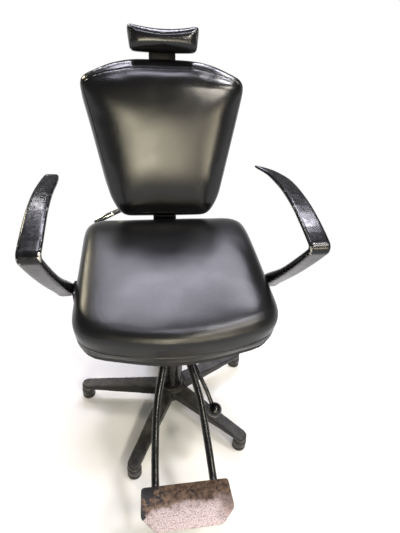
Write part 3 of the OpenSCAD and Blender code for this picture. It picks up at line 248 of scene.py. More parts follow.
@dataclass(frozen=True)
class WornEnamel(Finish):
    """Gloss enamel stoved onto cast aluminium, and rubbed through to bright metal by hands and belts.

    The film has a faint orange peel, and its edges are chipped where the "wear" attribute is high.
    Sizes in millimetres.
    """

    metal: str = "#c9c4ba"
    metal_roughness: float = 0.34
    smudged: str = "#1b1b1e"
    film: float = 0.12
    peel: float = 5.0
    peel_depth: float = 0.009
    ragged: float = 7.0
    patch: float = 60.0
    chips_apart: float = 16.0

    def pattern(self, tree: Tree) -> dict[str, Socket]:
        """Bare metal, the chips' edges, smudges and the orange peel.

        Args:
            tree: The material's nodes.

        Returns:
            Colour, metallic, roughness and height.
        """
        worn = add_node(tree, "Attribute", out="Fac", attribute_name="wear")
        level = add_node(tree, "Math", worn, clouds(tree, self.ragged, 6, (0.3, 0.7), (-0.22, 0.22)))
        level = add_node(tree, "Math", level, clouds(tree, self.patch, 3, (0.35, 0.65), (-0.42, 0.16)))
        rubbed = add_node(tree, "MapRange", level, 0.52, 0.58, 0.0, 1.0, **SOFT)
        place = add_node(tree, "TexCoord", out="Object")
        spots = {"Vector": place, "Scale": 1 / (self.chips_apart * MM), "Randomness": 1.0}
        dots = add_node(tree, "TexVoronoi", spots, out="Distance")
        near_edge = add_node(tree, "MapRange", worn, 0.0, 1.0, 0.03, -0.05, **SOFT)
        chips = add_node(tree, "Math", dots, near_edge)
        chips = add_node(tree, "MapRange", chips, 0.035, 0.055, 1.0, 0.0, **SOFT)
        bare = add_node(tree, "Math", rubbed, chips, **MOST)
        smudge = clouds(tree, 30, 5, (0.4, 0.75))
        paint = add_node(tree, "Mix", {0: smudge, 6: self.colour, 7: self.smudged}, **COLOURS)
        scuffed = clouds(tree, 14, 6, (0.35, 0.75), (self.roughness - 0.04, self.roughness + 0.08))
        peel = add_node(tree, "Math", clouds(tree, self.peel, 1), self.peel_depth, **TIMES)
        lost = add_node(tree, "Math", bare, -self.film, **TIMES)
        return {
            "Base Color": add_node(tree, "Mix", {0: bare, 6: paint, 7: self.metal}, **COLOURS),
            "Metallic": bare,
            "Roughness": add_node(tree, "Mix", {0: bare, 2: scuffed, 3: self.metal_roughness}),
            "Height": add_node(tree, "Math", peel, lost),
        }


@dataclass(frozen=True)
class PowderCoat(Finish):
    """Polyester powder baked onto steel: an even satin film with orange peel, paler on what faces up as dust
    and painted sheen.

    Sizes in millimetres.
    """

    dust_and_sheen_colour: str = "#5a5753"
    dust_and_sheen: float = 0.35
    dust_roughness: float = 0.35
    peel: float = 2.2
    peel_depth: float = 0.012

    def pattern(self, tree: Tree) -> dict[str, Socket]:
        """Orange peel, scuffs, and the paler film on upward faces that is part dust and part painted sheen.

        Args:
            tree: The material's nodes.

        Returns:
            Colour, roughness and height.
        """
        facing = add_node(tree, "TexCoord", out="Normal")
        up = add_node(tree, "SeparateXYZ", facing, out="Z")
        # Upward faces are paled: part settled dust, part a painted sheen where the tops catch light.
        lying = add_node(tree, "MapRange", up, 0.45, 0.98, 0.0, self.dust_and_sheen, **SOFT)
        dust_and_sheen = add_node(tree, "Math", lying, clouds(tree, 28, 6, (0.35, 0.7), (0.15, 1.0)), **TIMES)
        dulled = add_node(tree, "Math", dust_and_sheen, self.dust_roughness, **TIMES)
        scuffs = clouds(tree, 12, 5, (0.35, 0.7), (self.roughness - 0.06, self.roughness + 0.1))
        return {
            "Base Color": add_node(tree, "Mix", {0: dust_and_sheen, 6: self.colour, 7: self.dust_and_sheen_colour}, **COLOURS),
            "Roughness": add_node(tree, "Math", scuffs, dulled),
            "Height": add_node(tree, "Math", clouds(tree, self.peel, 1), self.peel_depth, **TIMES),
        }


@dataclass(frozen=True)
class TurnedSteel(Finish):
    """Machined or plated steel with fine tool marks and finger smears."""

    marks: float = 0.012
    stain: str = "#6e6a64"
    stained: float = 0.25

    def pattern(self, tree: Tree) -> dict[str, Socket]:
        """Tool marks, drawn coarser than real ones so that they show, smears and light staining.

        Args:
            tree: The material's nodes.

        Returns:
            Colour, roughness and height.
        """
        smear = clouds(tree, 18, 5, (0.35, 0.7), (0.0, self.stained))
        place = add_node(tree, "TexCoord", out="Object")
        stretched = add_node(tree, "Mapping", {"Vector": place, "Scale": (1.0, 1.0, 14.0)})
        lines = add_node(tree, "TexNoise", {"Vector": stretched, "Scale": 160.0, "Detail": 3.0}, out="Fac")
        return {
            "Base Color": add_node(tree, "Mix", {0: smear, 6: self.colour, 7: self.stain}, **COLOURS),
            "Roughness": clouds(tree, 11, 6, (0.3, 0.7), (self.roughness * 0.75, self.roughness * 1.35)),
            "Height": add_node(tree, "Math", lines, self.marks, **TIMES),
        }


@dataclass(frozen=True)
class ScuffedPlate(Finish):
    """Sheet steel whose black paint is worn away by shoes.

    The rear band keeps a brown film, the front is scoured to speckled grey, and black paint is left
    in flakes. Towards +X the speckled grey fades back into the darker brown as painted shade.
    Its rear edge and the band's depth are in metres, its film's thickness in millimetres.
    """

    rear: float = -0.388
    band: float = 0.05
    film: float = 0.2
    pits: float = 0.1
    film_roughness: float = 0.4
    bare_metallic: float = 0.55

    def pattern(self, tree: Tree) -> dict[str, Socket]:
        """Brown band, scoured zone darkened towards +X as painted shade, pits and the last flakes of paint.

        Args:
            tree: The material's nodes.

        Returns:
            Colour, metallic, roughness and height.
        """
        place = add_node(tree, "TexCoord", out="Object")
        axes = add_node(tree, "SeparateXYZ", place).node.outputs
        x, y = axes["X"], axes["Y"]
        drift = clouds(tree, 26, 5, (0.3, 0.7), (-0.009, 0.009))
        forward = add_node(tree, "Math", self.rear - self.band, y, operation="SUBTRACT")
        forward = add_node(tree, "Math", forward, add_node(tree, "Math", x, 0.12, **TIMES))
        forward = add_node(tree, "Math", forward, drift)
        scoured = add_node(tree, "MapRange", forward, -0.01, 0.012, 0.0, 1.0, **SOFT)
        # Towards +X the scoured grey gives way to the darker brown: painted shade on the plate's right side.
        side = add_node(tree, "Math", x, drift)
        side = add_node(tree, "MapRange", side, 0.062, 0.096, 1.0, 0.25, **SOFT)
        scoured = add_node(tree, "Math", scoured, side, **TIMES)
        speckle = clouds(tree, 3.4, 8, (0.3, 0.62))
        cloud = clouds(tree, 10, 8, (0.3, 0.68))
        brown = add_node(tree, "Mix", {0: cloud, 6: "#43342b", 7: "#7a6452"}, **COLOURS)
        dull = add_node(tree, "Mix", {0: cloud, 6: "#7d6c6a", 7: "#a3918f"}, **COLOURS)
        grey = add_node(tree, "Mix", {0: speckle, 6: dull, 7: "#cfbfbd"}, **COLOURS)
        metal = add_node(tree, "Mix", {0: scoured, 6: brown, 7: grey}, **COLOURS)
        corner = add_node(tree, "MapRange", x, -0.115, -0.02, 0.2, -0.06, **SOFT)
        rear_edge = add_node(tree, "MapRange", y, self.rear - 0.075, self.rear - 0.015, -0.14, 0.05, **SOFT)
        left = add_node(tree, "Math", clouds(tree, 15, 6), corner)
        left = add_node(tree, "Math", left, rear_edge)
        flakes = add_node(tree, "MapRange", left, 0.62, 0.66, 0.0, 1.0, **SOFT)
        pits = add_node(tree, "Math", speckle, self.pits, **TIMES)
        film = add_node(tree, "Math", flakes, self.film, **TIMES)
        return {
            "Base Color": add_node(tree, "Mix", {0: flakes, 6: metal, 7: self.colour}, **COLOURS),
            "Metallic": add_node(tree, "MapRange", flakes, 0.0, 1.0, self.bare_metallic, 0.0, **SOFT),
            "Roughness": add_node(tree, "Mix", {0: scoured, 2: self.film_roughness, 3: self.roughness}),
            "Height": add_node(tree, "Math", pits, film),
        }


@dataclass(frozen=True)
class Moulded(Finish):
    """Injection-moulded plastic or pressed rubber with a fine spark-eroded texture and pale scuffs.

    Sizes in millimetres.
    """

    texture: float = 1.6
    texture_depth: float = 0.05
    scuff: str = "#3a3733"

    def pattern(self, tree: Tree) -> dict[str, Socket]:
        """The mould's texture and the scuffs.

        Args:
            tree: The material's nodes.

        Returns:
            Colour, roughness and height.
        """
        scuffed = clouds(tree, 10, 6, (0.5, 0.75), (0.0, 0.7))
        return {
            "Base Color": add_node(tree, "Mix", {0: scuffed, 6: self.colour, 7: self.scuff}, **COLOURS),
            "Roughness": clouds(tree, 8, 4, (0.3, 0.7), (self.roughness - 0.05, self.roughness + 0.08)),
            "Height": add_node(tree, "Math", clouds(tree, self.texture, 2), self.texture_depth, **TIMES),
        }


@dataclass(frozen=True)
class Plywood(Finish):
    """Rotary-cut birch plywood: long streaks of grain, and plies that show at the edge."""

    dark: str = "#7c5c3c"
    stretch: tuple[float, float, float] = (30.0, 240.0, 400.0)
    grain_depth: float = 0.08

    def pattern(self, tree: Tree) -> dict[str, Socket]:
        """The grain and the plies.

        Args:
            tree: The material's nodes.

        Returns:
            Colour and height.
        """
        place = add_node(tree, "TexCoord", out="Object")
        stretched = add_node(tree, "Mapping", {"Vector": place, "Scale": self.stretch})
        grain = add_node(tree, "TexNoise", {"Vector": stretched, "Scale": 1.0, "Detail": 4.0}, out="Fac")
        streaks = add_node(tree, "MapRange", grain, 0.35, 0.7, 0.0, 1.0, **SOFT)
        return {
            "Base Color": add_node(tree, "Mix", {0: streaks, 6: self.colour, 7: self.dark}, **COLOURS),
            "Height": add_node(tree, "Math", grain, self.grain_depth, **TIMES),
        }


@dataclass(frozen=True)
class PaleFloor(Finish):
    """Matt floor that keeps the chair's shadow near it and runs out into plain white, in metres."""

    near: float = 0.3
    far: float = 0.9

    def shown(self, tree: Tree, lit: Socket) -> Socket:
        """Turns the far floor white for the camera, for mirrors and for glass.

        Args:
            tree: The material's nodes.
            lit: The shader.

        Returns:
            What goes to the material's output.
        """
        place = add_node(tree, "TexCoord", out="Object")
        away = add_node(tree, "VectorMath", place, out="Value", operation="LENGTH")
        far = add_node(tree, "MapRange", away, self.near, self.far, 0.0, 1.0, **SOFT)
        ray = add_node(tree, "LightPath").node.outputs
        mirrored = add_node(tree, "Math", ray["Is Glossy Ray"], ray["Is Transmission Ray"], **MOST)
        looked_at = add_node(tree, "Math", ray["Is Camera Ray"], mirrored, **MOST)
        share = add_node(tree, "Math", far, looked_at, **TIMES)
        white = add_node(tree, "Emission", WHITE, 1.0)
        return add_node(tree, "MixShader", share, lit, white)


# Upholstery: black PVC film, so nearly all that shows is what it mirrors
SEAT_VINYL = Vinyl("embossed_pvc_vinyl_seat", "#0a0a0b", 0.3, grain_depth=0.19, wave_depth=0.15)
BACK_VINYL = Vinyl("embossed_pvc_vinyl_back", "#0a0a0b", 0.2, grain_depth=0.12, wave_depth=0.05)
HEAD_VINYL = Vinyl("embossed_pvc_vinyl_headrest", "#0a0a0b", 0.2, grain_depth=0.1)
# Stoved enamel on the cast arms: glossier than the powder coat on the steel
ARM_ENAMEL = WornEnamel("stoved_enamel_on_cast_aluminium", "#0b0b0d", 0.22, specular=0.42)
# Black powder coat: satin on the base and frame, glossier on the pump's and footrest's tubes. The base's upward
# faces are paled most, part dust and part painted sheen
BASE_COAT = PowderCoat("powder_coated_cast_base", "#0c0c0d", 0.36, specular=0.4, dust_and_sheen=0.5)
FRAME_COAT = PowderCoat("powder_coated_frame_steel", "#0d0d0e", 0.42, specular=0.4, dust_and_sheen=0.15)
TUBE_COAT = PowderCoat("gloss_powder_coated_tube", "#090909", 0.22, specular=0.45, dust_and_sheen=0.05, peel=3.0)
# Sheet steel worn by shoes: dull, speckled and only half metallic under its grime
PLATE_STEEL = ScuffedPlate("scoured_painted_plate", "#100e0d", 0.55)
# Bare and plated metals: clean mirrors blurred by tool marks, zinc duller than chrome
GROUND_STEEL = TurnedSteel("ground_steel", "#a9a9aa", 0.3, 1.0)
ZINC_PLATE = TurnedSteel("zinc_plated_steel", "#a3a29c", 0.34, 1.0, stained=0.45)
CHROME = TurnedSteel("bright_chromed_steel", "#d8d9d6", 0.12, 1.0, marks=0.004, stained=0.12)
PALE_RING = TurnedSteel("worn_galvanised_ring", "#83817a", 0.42, 1.0, stained=0.5)
BUSH_BRONZE = TurnedSteel("turned_bronze", "#b08a4c", 0.28, 1.0, stain="#5d4523", stained=0.5)
# Moulded parts: soft highlights on rubber, nylon and ABS, a sharp one on the polished ball
RUBBER = Moulded("pressed_black_rubber", "#0e0e0e", 0.62)
GLIDE_NYLON = Moulded("moulded_nylon_glide", "#16120f", 0.42, scuff="#4a4038")
PHENOLIC = Moulded("polished_phenolic", "#060607", 0.13, texture=6.0, scuff="#0c0c0d")
COVER_ABS = Moulded("moulded_abs_cover", "#0f0f10", 0.45, scuff="#1a1a1b")
# Stained birch boards: matt, nearly black, with streaks that show only close up
SEAT_PLY = Plywood("black_stained_birch_plywood", "#12100e", 0.6, dark="#0a0908")
BACK_PLY = Plywood("dark_stained_birch_plywood", "#2a211b", 0.55, dark="#17120f")
FLOOR_PAINT = PaleFloor("matt_white_floor", "#f2f2f2", 0.9, specular=0.1)

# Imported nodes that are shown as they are
CAD_FINISHES: dict[Finish, tuple[str, ...]] = {
    ZINC_PLATE: (
        "glide_studs", "base_bolt", "frame_bolts", "flange_bolts", "board_screws", "arm_bolts",
        "saddle_bolts", "strip_bolts",
    ),
    PALE_RING: ("glide_washers", "hub_ring"),
    GROUND_STEEL: (
        "pump_foot", "inner_cylinder", "lever_pin", "pump_plunger", "lift_ram", "ram_piston",
        "thrust_bearing", "recline_pin", "strut_front_pin", "strut_rear_pin", "tilt_pin",
    ),
    BUSH_BRONZE: ("gland_bush",),
    RUBBER: ("rod_wiper", "piston_seal"),
    CHROME: ("gas_rod",),
    SEAT_PLY: ("seat_board",),
    BACK_PLY: ("back_board", "headrest_board"),
}

# Distances in metres within which vertices are joined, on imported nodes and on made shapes
WELD = 2e-5
FINE_WELD = 1e-6
# Frames after which the blown-up vinyl is at rest
SWELL_FRAMES = 20
# Mass in kilograms that each vertex of the vinyl has in the simulation
VINYL_MASS = 0.25
# Where a seam's lines are cut in, how far the cut faces and its groove and rolls reach, in halves of its width
SEAM_CUTS = (-2.2, -1.2, -0.5, 0.0, 0.5, 1.2, 2.2)
SEAM_STRIP = 6.0
SEAM_REACH = 2.6
# How closely puckers and foam waves follow one another per metre, and gathers round a corner
PUCKERS = 90
FOAM_WAVES = 9
GATHERS = 7
# Angles from which triangles are left apart and the foot's edge stays sharp
FLAT, SQUARE, CREASED = math.radians(25), math.radians(35), math.radians(30)


def clamped(value: float) -> float:
    """The value, kept between 0 and 1."""
    return min(1.0, max(0.0, value))


def eased(value: float) -> float:
    """The value kept between 0 and 1, with soft ends."""
    share = clamped(value)
    return share * share * (3 - 2 * share)


def open_node(node: str) -> BMesh:
    """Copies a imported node's surface, with its loose triangles joined.

    Args:
        node: Name of the node.

    Returns:
        A new bmesh in the frame's place.
    """
    bm = bmesh.new()
    bm.from_mesh(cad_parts[node].data)
    bmesh.ops.remove_doubles(bm, verts=bm.verts, dist=WELD)
    return bm


def smooth(bm: BMesh, verts: Iterable[bmesh.types.BMVert], passes: int) -> None:
    """Evens a surface out.

    Args:
        bm: The mesh.
        verts: The vertices that move.
        passes: Rounds of smoothing.
    """
    for _ in range(passes):
        bmesh.ops.smooth_vert(bm, verts=verts, factor=0.5, use_axis_x=True, use_axis_y=True, use_axis_z=True)


def run_modifiers(bm: BMesh, *steps: tuple[str, dict]) -> BMesh:
    """Takes a bmesh through modifiers.

    Args:
        bm: The mesh, which is freed.
        *steps: Modifier types with their settings, in order.

    Returns:
        The result as a new bmesh.
    """
    mesh = bpy.data.meshes.new("work")
    bm.to_mesh(mesh)
    bm.free()
    work = bpy.data.objects.new("work", mesh)
    bpy.context.scene.collection.objects.link(work)
    for kind, settings in steps:
        modifier = work.modifiers.new(kind.lower(), kind)
        for name, value in settings.items():
            setattr(modifier, name, value)
    shaped = work.evaluated_get(bpy.context.evaluated_depsgraph_get())
    made = bmesh.new()
    made.from_mesh(shaped.to_mesh())
    shaped.to_mesh_clear()
    bpy.data.objects.remove(work)
    bpy.data.meshes.remove(mesh)
    return made


def settle(
    name: str,
    bm: BMesh,
    finish: Finish,
    body: Body,
    stands_for: Iterable[str] = (),
    sharp: float = 40.0,
) -> bpy.types.Object:
    """Turns a finished bmesh into a piece of the chair.

    Args:
        name: The piece's name.
        bm: Its mesh, which is freed.
        finish: Its finish.
        body: Body that it moves with.
        stands_for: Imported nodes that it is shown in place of.
        sharp: Angle in degrees from which an edge stays sharp.

    Returns:
        The piece.
    """
    mesh = bpy.data.meshes.new(name)
    bm.to_mesh(mesh)
    bm.free()
    mesh.shade_smooth()
    mesh.set_sharp_from_angle(angle=math.radians(sharp))
    mesh.materials.append(finish.material())
    piece = bpy.data.objects.new(name, mesh)
    bpy.context.scene.collection.objects.link(piece)
    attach(piece, body.value)
    if stands_for:
        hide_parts(*stands_for)
    log.info("%s: %d faces, %s, on %s", name, len(mesh.polygons), finish.name, body.value)
    return piece


@dataclass(frozen=True)
class EdgedPiece:
    """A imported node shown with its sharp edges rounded.

    Its radius is in millimetres, and edges are rounded from an angle in degrees upwards.
    """

    name: str
    node: str
    radius: float
    steps: int = 2
    finish: Finish = FRAME_COAT
    body: Body = Body.SEAT
    slot: Slot = Slot.FRAME_PAINT
    above: float = 32.0
    flat: float = 0.8

    def form(self) -> BMesh:
        """The node with its flat faces joined and its edges rounded."""
        bm = open_node(self.node)
        bmesh.ops.dissolve_limit(
            bm,
            angle_limit=math.radians(self.flat),
            use_dissolve_boundaries=False,
            verts=bm.verts,
            edges=bm.edges,
        )
        least = math.radians(self.above)
        hard = [e for e in bm.edges if len(e.link_faces) == 2 and e.calc_face_angle(0.0) > least]
        bmesh.ops.bevel(
            bm,
            geom=hard,
            offset=self.radius * MM,
            offset_type="OFFSET",
            segments=self.steps,
            profile=0.5,
            affect="EDGES",
            clamp_overlap=True,
            material=-1,
        )
        return bm

    def build(self) -> bpy.types.Object:
        """Makes the piece in place of its node."""
        return settle(self.name, self.form(), self.finish, self.body, [self.node])


def cast_skin(node: str, voxel: float, passes: int) -> BMesh:
    """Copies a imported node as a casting, with even faces and every edge softened.

    Args:
        node: Name of the node.
        voxel: Size of a face in millimetres.
        passes: Rounds of smoothing.

    Returns:
        A new bmesh.
    """
    bm = run_modifiers(open_node(node), ("REMESH", {"mode": "VOXEL", "voxel_size": voxel * MM}))
    smooth(bm, bm.verts, passes)
    bm.normal_update()
    return bm


def swept(route: Iterable[Vector], diameter: float, sides: int = 28, steps: int = 8) -> BMesh:
    """Round bar along a smooth route.

    Args:
        route: Points in metres that the bar passes through.
        diameter: Diameter in millimetres.
        sides: Sides of its section.
        steps: Steps between two points.

    Returns:
        A closed bmesh.
    """
    points = [Vector(p) for p in route]
    fine = []
    for i in range(len(points) - 1):
        p0, p1 = points[max(i - 1, 0)], points[i]
        p2, p3 = points[i + 1], points[min(i + 2, len(points) - 1)]
        for k in range(steps):
            t = k / steps
            bend = (2 * p0 - 5 * p1 + 4 * p2 - p3) * t * t + (3 * p1 - p0 - 3 * p2 + p3) * t**3
            fine.append(0.5 * (2 * p1 + (p2 - p0) * t + bend))
    fine.append(points[-1])
    curve = bpy.data.curves.new("route", "CURVE")
    curve.dimensions = "3D"
    curve.bevel_depth = diameter * MM / 2
    curve.bevel_resolution = sides // 4 - 1
    curve.use_fill_caps = True
    spline = curve.splines.new("POLY")
    spline.points.add(len(fine) - 1)
    for point, place in zip(spline.points, fine):
        point.co = (*place, 1.0)
    work = bpy.data.objects.new("route", curve)
    bpy.context.scene.collection.objects.link(work)
    bm = bmesh.new()
    bm.from_mesh(work.evaluated_get(bpy.context.evaluated_depsgraph_get()).to_mesh())
    bpy.data.objects.remove(work)
    bmesh.ops.remove_doubles(bm, verts=bm.verts, dist=FINE_WELD)
    bmesh.ops.recalc_face_normals(bm, faces=bm.faces)
    return bm


@dataclass(frozen=True)
class WearMap:
    """Where hands and belts rub an arm: most along its inner edge and over its front corner.

    Places and sizes in metres. The upright below the pad is rubbed only a little.
    """

    side: int
    pad_z: float = 0.7
    corner: float = -0.1
    tip: float = 0.08
    tip_run: float = 0.12
    tip_spared: float = 0.7
    least: float = 0.25
    inner: float = 0.6
    over_corner: float = 0.25
    bend: float = 7.0
    rounds: int = 3

    def at(self, place: Vector, facing: Vector) -> float:
        """Share of wear at a point.

        Args:
            place: The point.
            facing: The surface's direction there.

        Returns:
            0 where the paint is untouched, about 1 where it is rubbed most.
        """
        if place.z < self.pad_z:
            return self.least
        inward = 0.5 - 0.5 * facing.x * self.side
        front = self.over_corner if place.y < self.corner else 0.0
        tip = clamped((place.y - self.tip) / self.tip_run)
        return (self.least + self.inner * inward + front) * (1 - self.tip_spared * tip)

    def mark(self, bm: BMesh) -> None:
        """Stores how far each vertex's paint is worn, from how sharply the surface bends outwards there.

        Args:
            bm: An evenly meshed surface.
        """
        layer = bm.verts.layers.float.new("wear")
        for vert in bm.verts:
            bends = [vert.normal.dot((vert.co - e.other_vert(vert).co).normalized()) for e in vert.link_edges]
            vert[layer] = max(0.0, sum(bends) / max(len(bends), 1)) * self.bend
        for _ in range(self.rounds):
            mean = {v: sum(e.other_vert(v)[layer] for e in v.link_edges) / len(v.link_edges) for v in bm.verts}
            for vert, value in mean.items():
                vert[layer] = (vert[layer] + value) / 2
        for vert in bm.verts:
            vert[layer] = min(1.0, vert[layer]) * self.at(vert.co, vert.normal)


@dataclass(frozen=True)
class Seam:
    """Sewn seam along the line where a plane cuts a cushion. Sizes in millimetres.

    Its rolls are sized in shares of its depth, and placed in halves of its width.
    """

    point: Vector
    normal: Vector
    lowest: float
    highest: float
    toward: Vector | None = None
    width: float = 5.0
    depth: float = 1.6
    roll: float = 0.32
    roll_at: float = 1.35
    spread: float = 0.55
    pucker: float = 0.35

    def covers(self, place: Vector, height: float) -> bool:
        """Whether the seam runs here.

        Args:
            place: A point on the cushion.
            height: Its height above the board in metres.

        Returns:
            True within the seam's own stretch.
        """
        ahead = self.toward is None or (place - self.point).dot(self.toward) > 0
        return ahead and self.lowest * MM <= height <= self.highest * MM

    def draw_in(self, away: float) -> float:
        """Share of the seam's depth that the surface stands out by, down in its groove and up on its rolls.

        Args:
            away: Distance from the seam in halves of its width.

        Returns:
            From -1 in the groove to about 0.3 on a roll.
        """
        rolls = self.roll * math.exp(-(((away - self.roll_at) / self.spread) ** 2))
        return rolls - math.exp(-((away / self.spread) ** 2))


@dataclass
class Cushion:
    """Foam on a board under tight vinyl: swollen by a cloth simulation, flat where the board carries it.

    Sizes in millimetres. Its seams are sewn in after it has swollen.
    """

    name: str
    node: str
    body: Body
    finish: Vinyl
    seat_point: Vector
    outward: Vector
    # The form before it swells, and how far and how hard it may swell
    voxel: float = 6.0
    start_inset: float = 2.0
    inset_height: float = 20.0
    square: float = 0.0
    cap: float = 7.0
    pressure: float = 4.0
    fill: float = 0.7
    # Seams, and the gathers where the vinyl is eased round a corner
    seams: tuple[Seam, ...] = ()
    corners: tuple[Vector, ...] = ()
    gather: float = 0.7
    gather_reach: float = 62.0
    gather_top: float = 60.0
    # What use has done to the foam
    foam_wave: float = 1.0
    firm_height: float = 30.0
    fall: float = 0.0
    sag_height: float = 60.0
    front_y: float = -200.0
    run: float = 500.0
    dip: float = 0.0
    roll: float = 0.0
    roll_reach: float = 85.0
    # How the vinyl is drawn tight, and from which height above the board
    tauten: int = 16
    edge_height: float = 18.0
    fit_height: float = 6.0

    @property
    def up(self) -> Vector:
        """The direction along the cushion's face that is square to its width."""
        return self.outward.cross(ACROSS)

    def height(self, place: Vector) -> float:
        """Height of a point above the board in metres."""
        return (place - self.seat_point).dot(self.outward)

    def form(self) -> BMesh:
        """The cushion before it swells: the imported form, smoothed and a little slack."""
        bm = open_node(self.node)
        bmesh.ops.join_triangles(
            bm, faces=bm.faces, angle_face_threshold=FLAT, angle_shape_threshold=SQUARE
        )
        crease = bm.edges.layers.float.new("crease_edge")
        for edge in bm.edges:
            low = all(self.height(v.co) < 0.5 * MM for v in edge.verts)
            if low and edge.calc_face_angle(0.0) > CREASED:
                edge[crease] = 1.0
        bm = run_modifiers(
            bm,
            ("SUBSURF", {"levels": 2, "render_levels": 2}),
            ("REMESH", {"mode": "VOXEL", "voxel_size": self.voxel * MM}),
        )
        smooth(bm, [v for v in bm.verts if self.height(v.co) > 2 * self.voxel * MM], 4)
        bm.normal_update()
        for vert in bm.verts:
            share = clamped(self.height(vert.co) / (self.inset_height * MM))
            vert.co -= vert.normal * self.start_inset * MM * share
        self.square_up(bm)
        return bm

    def square_up(self, bm: BMesh) -> None:
        """Fills the cushion's upper edges out, as firm foam does, so that they turn in a tighter curve.

        Args:
            bm: The cushion.
        """
        bm.normal_update()
        for vert in bm.verts:
            rise = max(0.0, vert.normal.dot(self.outward))
            vert.co += vert.normal * self.square * MM * 2 * rise * math.sqrt(max(0.0, 1 - rise * rise))

    def swell(self, bm: BMesh) -> BMesh:
        """Blows the form up under its vinyl, held fast at the board.

        Args:
            bm: The form, which is freed.

        Returns:
            The swollen cushion.
        """
        mesh = bpy.data.meshes.new("slack")
        bm.to_mesh(mesh)
        bm.free()
        work = bpy.data.objects.new("slack", mesh)
        scene = bpy.context.scene
        scene.collection.objects.link(work)
        held = work.vertex_groups.new(name="held")
        held.add([v.index for v in mesh.vertices if self.height(v.co) < 0.7 * self.voxel * MM], 1.0, "REPLACE")
        cloth = work.modifiers.new("swell", "CLOTH")
        cloth.settings.quality = 4
        cloth.settings.mass = VINYL_MASS
        cloth.settings.use_pressure = True
        cloth.settings.uniform_pressure_force = self.pressure
        cloth.settings.effector_weights.gravity = 0.0
        cloth.settings.vertex_group_mass = "held"
        cloth.collision_settings.use_collision = False
        scene.frame_start, scene.frame_end = 1, SWELL_FRAMES
        for step in range(1, SWELL_FRAMES + 1):
            scene.frame_set(step)
        swollen = work.evaluated_get(bpy.context.evaluated_depsgraph_get()).to_mesh()
        places = [v.co.copy() for v in swollen.vertices]
        made = bmesh.new()
        made.from_mesh(mesh)
        for vert, place in zip(made.verts, places):
            move = place - vert.co
            if move.length > 1e-9:
                vert.co += move.normalized() * self.cap * MM * math.tanh(move.length / (self.cap * MM))
        bpy.data.objects.remove(work)
        bpy.data.meshes.remove(mesh)
        scene.frame_set(1)
        return made

    def sag(self, place: Vector) -> float:
        """Rise in millimetres that sitting has left in the foam: below zero towards the front edge."""
        along = (place.y / MM - self.front_y) / self.run
        return self.fall * (eased(along / 0.75) - 0.6) * eased((1.0 - along) / 0.25)

    def dress_corners(self, bm: BMesh) -> None:
        """Adds the small gathers where the vinyl is eased round a corner, and slow waves in the foam.

        Args:
            bm: The swollen cushion.
        """
        bm.normal_update()
        up = self.up
        for vert in bm.verts:
            height = self.height(vert.co) / MM
            wave = noise.noise(vert.co * FOAM_WAVES) * self.foam_wave * clamped(height / self.firm_height)
            if self.fall:
                give = clamped((height - self.firm_height) / self.sag_height)
                vert.co += self.outward * self.sag(vert.co) * give * MM
            for corner in self.corners:
                away = vert.co - corner
                away -= self.outward * away.dot(self.outward)
                reach = away.length / (self.gather_reach * MM)
                if reach < 1.0:
                    turn = math.atan2(away.dot(up), away.dot(ACROSS))
                    level = (height - 0.62 * self.gather_top) / (0.4 * self.gather_top)
                    fade = (1 - reach**2) * math.exp(-(level**2))
                    wave += self.gather * fade * noise.noise(Vector((turn * GATHERS, corner.x * 40, 0.3)))
            vert.co += vert.normal * wave * MM

    def fit_outline(self, bm: BMesh) -> None:
        """Draws the cushion back out to its packed size, fully from a little above the board.

        Args:
            bm: The cushion.
        """
        packed = [v.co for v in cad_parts[self.node].data.vertices]
        for axis in (ACROSS, self.up):
            wanted = [p.dot(axis) for p in packed]
            found = [v.co.dot(axis) for v in bm.verts]
            stretch = (max(wanted) - min(wanted)) / (max(found) - min(found))
            middle = (max(found) + min(found)) / 2
            shift = (max(wanted) + min(wanted)) / 2 - middle
            for vert, place in zip(bm.verts, found):
                share = clamped(self.height(vert.co) / (self.fit_height * MM))
                vert.co += axis * ((place - middle) * (stretch - 1) + shift) * share

    def draw_dip(self, bm: BMesh) -> None:
        """Draws the middle of the upper edge down, as tight vinyl does over a hollow foam.

        Args:
            bm: The cushion.
        """
        up = self.up
        heights = [v.co.dot(up) for v in bm.verts]
        low, high = min(heights), max(heights)
        reach = max(abs(v.co.x) for v in bm.verts)
        for vert, height in zip(bm.verts, heights):
            share = (height - low) / (high - low)
            middle = max(0.0, 1 - (vert.co.x / reach) ** 2)
            vert.co -= up * self.dip * MM * share**2 * middle

    def roll_over(self, bm: BMesh) -> None:
        """Rolls the foam back towards the upper edge, so that the vinyl runs over it in a wide curve.

        Args:
            bm: The cushion.
        """
        up = self.up
        top = max(v.co.dot(up) for v in bm.verts)
        thick = max(self.height(v.co) for v in bm.verts)
        for vert in bm.verts:
            near = max(0.0, 1 - (top - vert.co.dot(up)) / (self.roll_reach * MM))
            vert.co -= self.outward * self.roll * MM * near**2 * max(0.0, self.height(vert.co) / thick)

    def sew(self, bm: BMesh) -> None:
        """Draws each seam in as a groove between two low rolls.

        Args:
            bm: The swollen cushion.
        """
        for seam in self.seams:
            half = seam.width * MM / 2
            for share in SEAM_CUTS:
                near = []
                for face in bm.faces:
                    place = face.calc_center_median()
                    close = abs((place - seam.point).dot(seam.normal)) < SEAM_STRIP * half
                    if close and seam.covers(place, self.height(place)):
                        near.append(face)
                edges = {e for f in near for e in f.edges}
                verts = {v for f in near for v in f.verts}
                bmesh.ops.bisect_plane(
                    bm,
                    geom=[*near, *edges, *verts],
                    plane_co=seam.point + seam.normal * share * half,
                    plane_no=seam.normal,
                    dist=WELD,
                )
            bm.normal_update()
            for vert in bm.verts:
                away = abs((vert.co - seam.point).dot(seam.normal)) / half
                if away < SEAM_REACH and seam.covers(vert.co, self.height(vert.co)):
                    pucker = 1 + seam.pucker * noise.noise(vert.co * PUCKERS)
                    vert.co += vert.normal * seam.draw_in(away) * seam.depth * pucker * MM
            bm.normal_update()

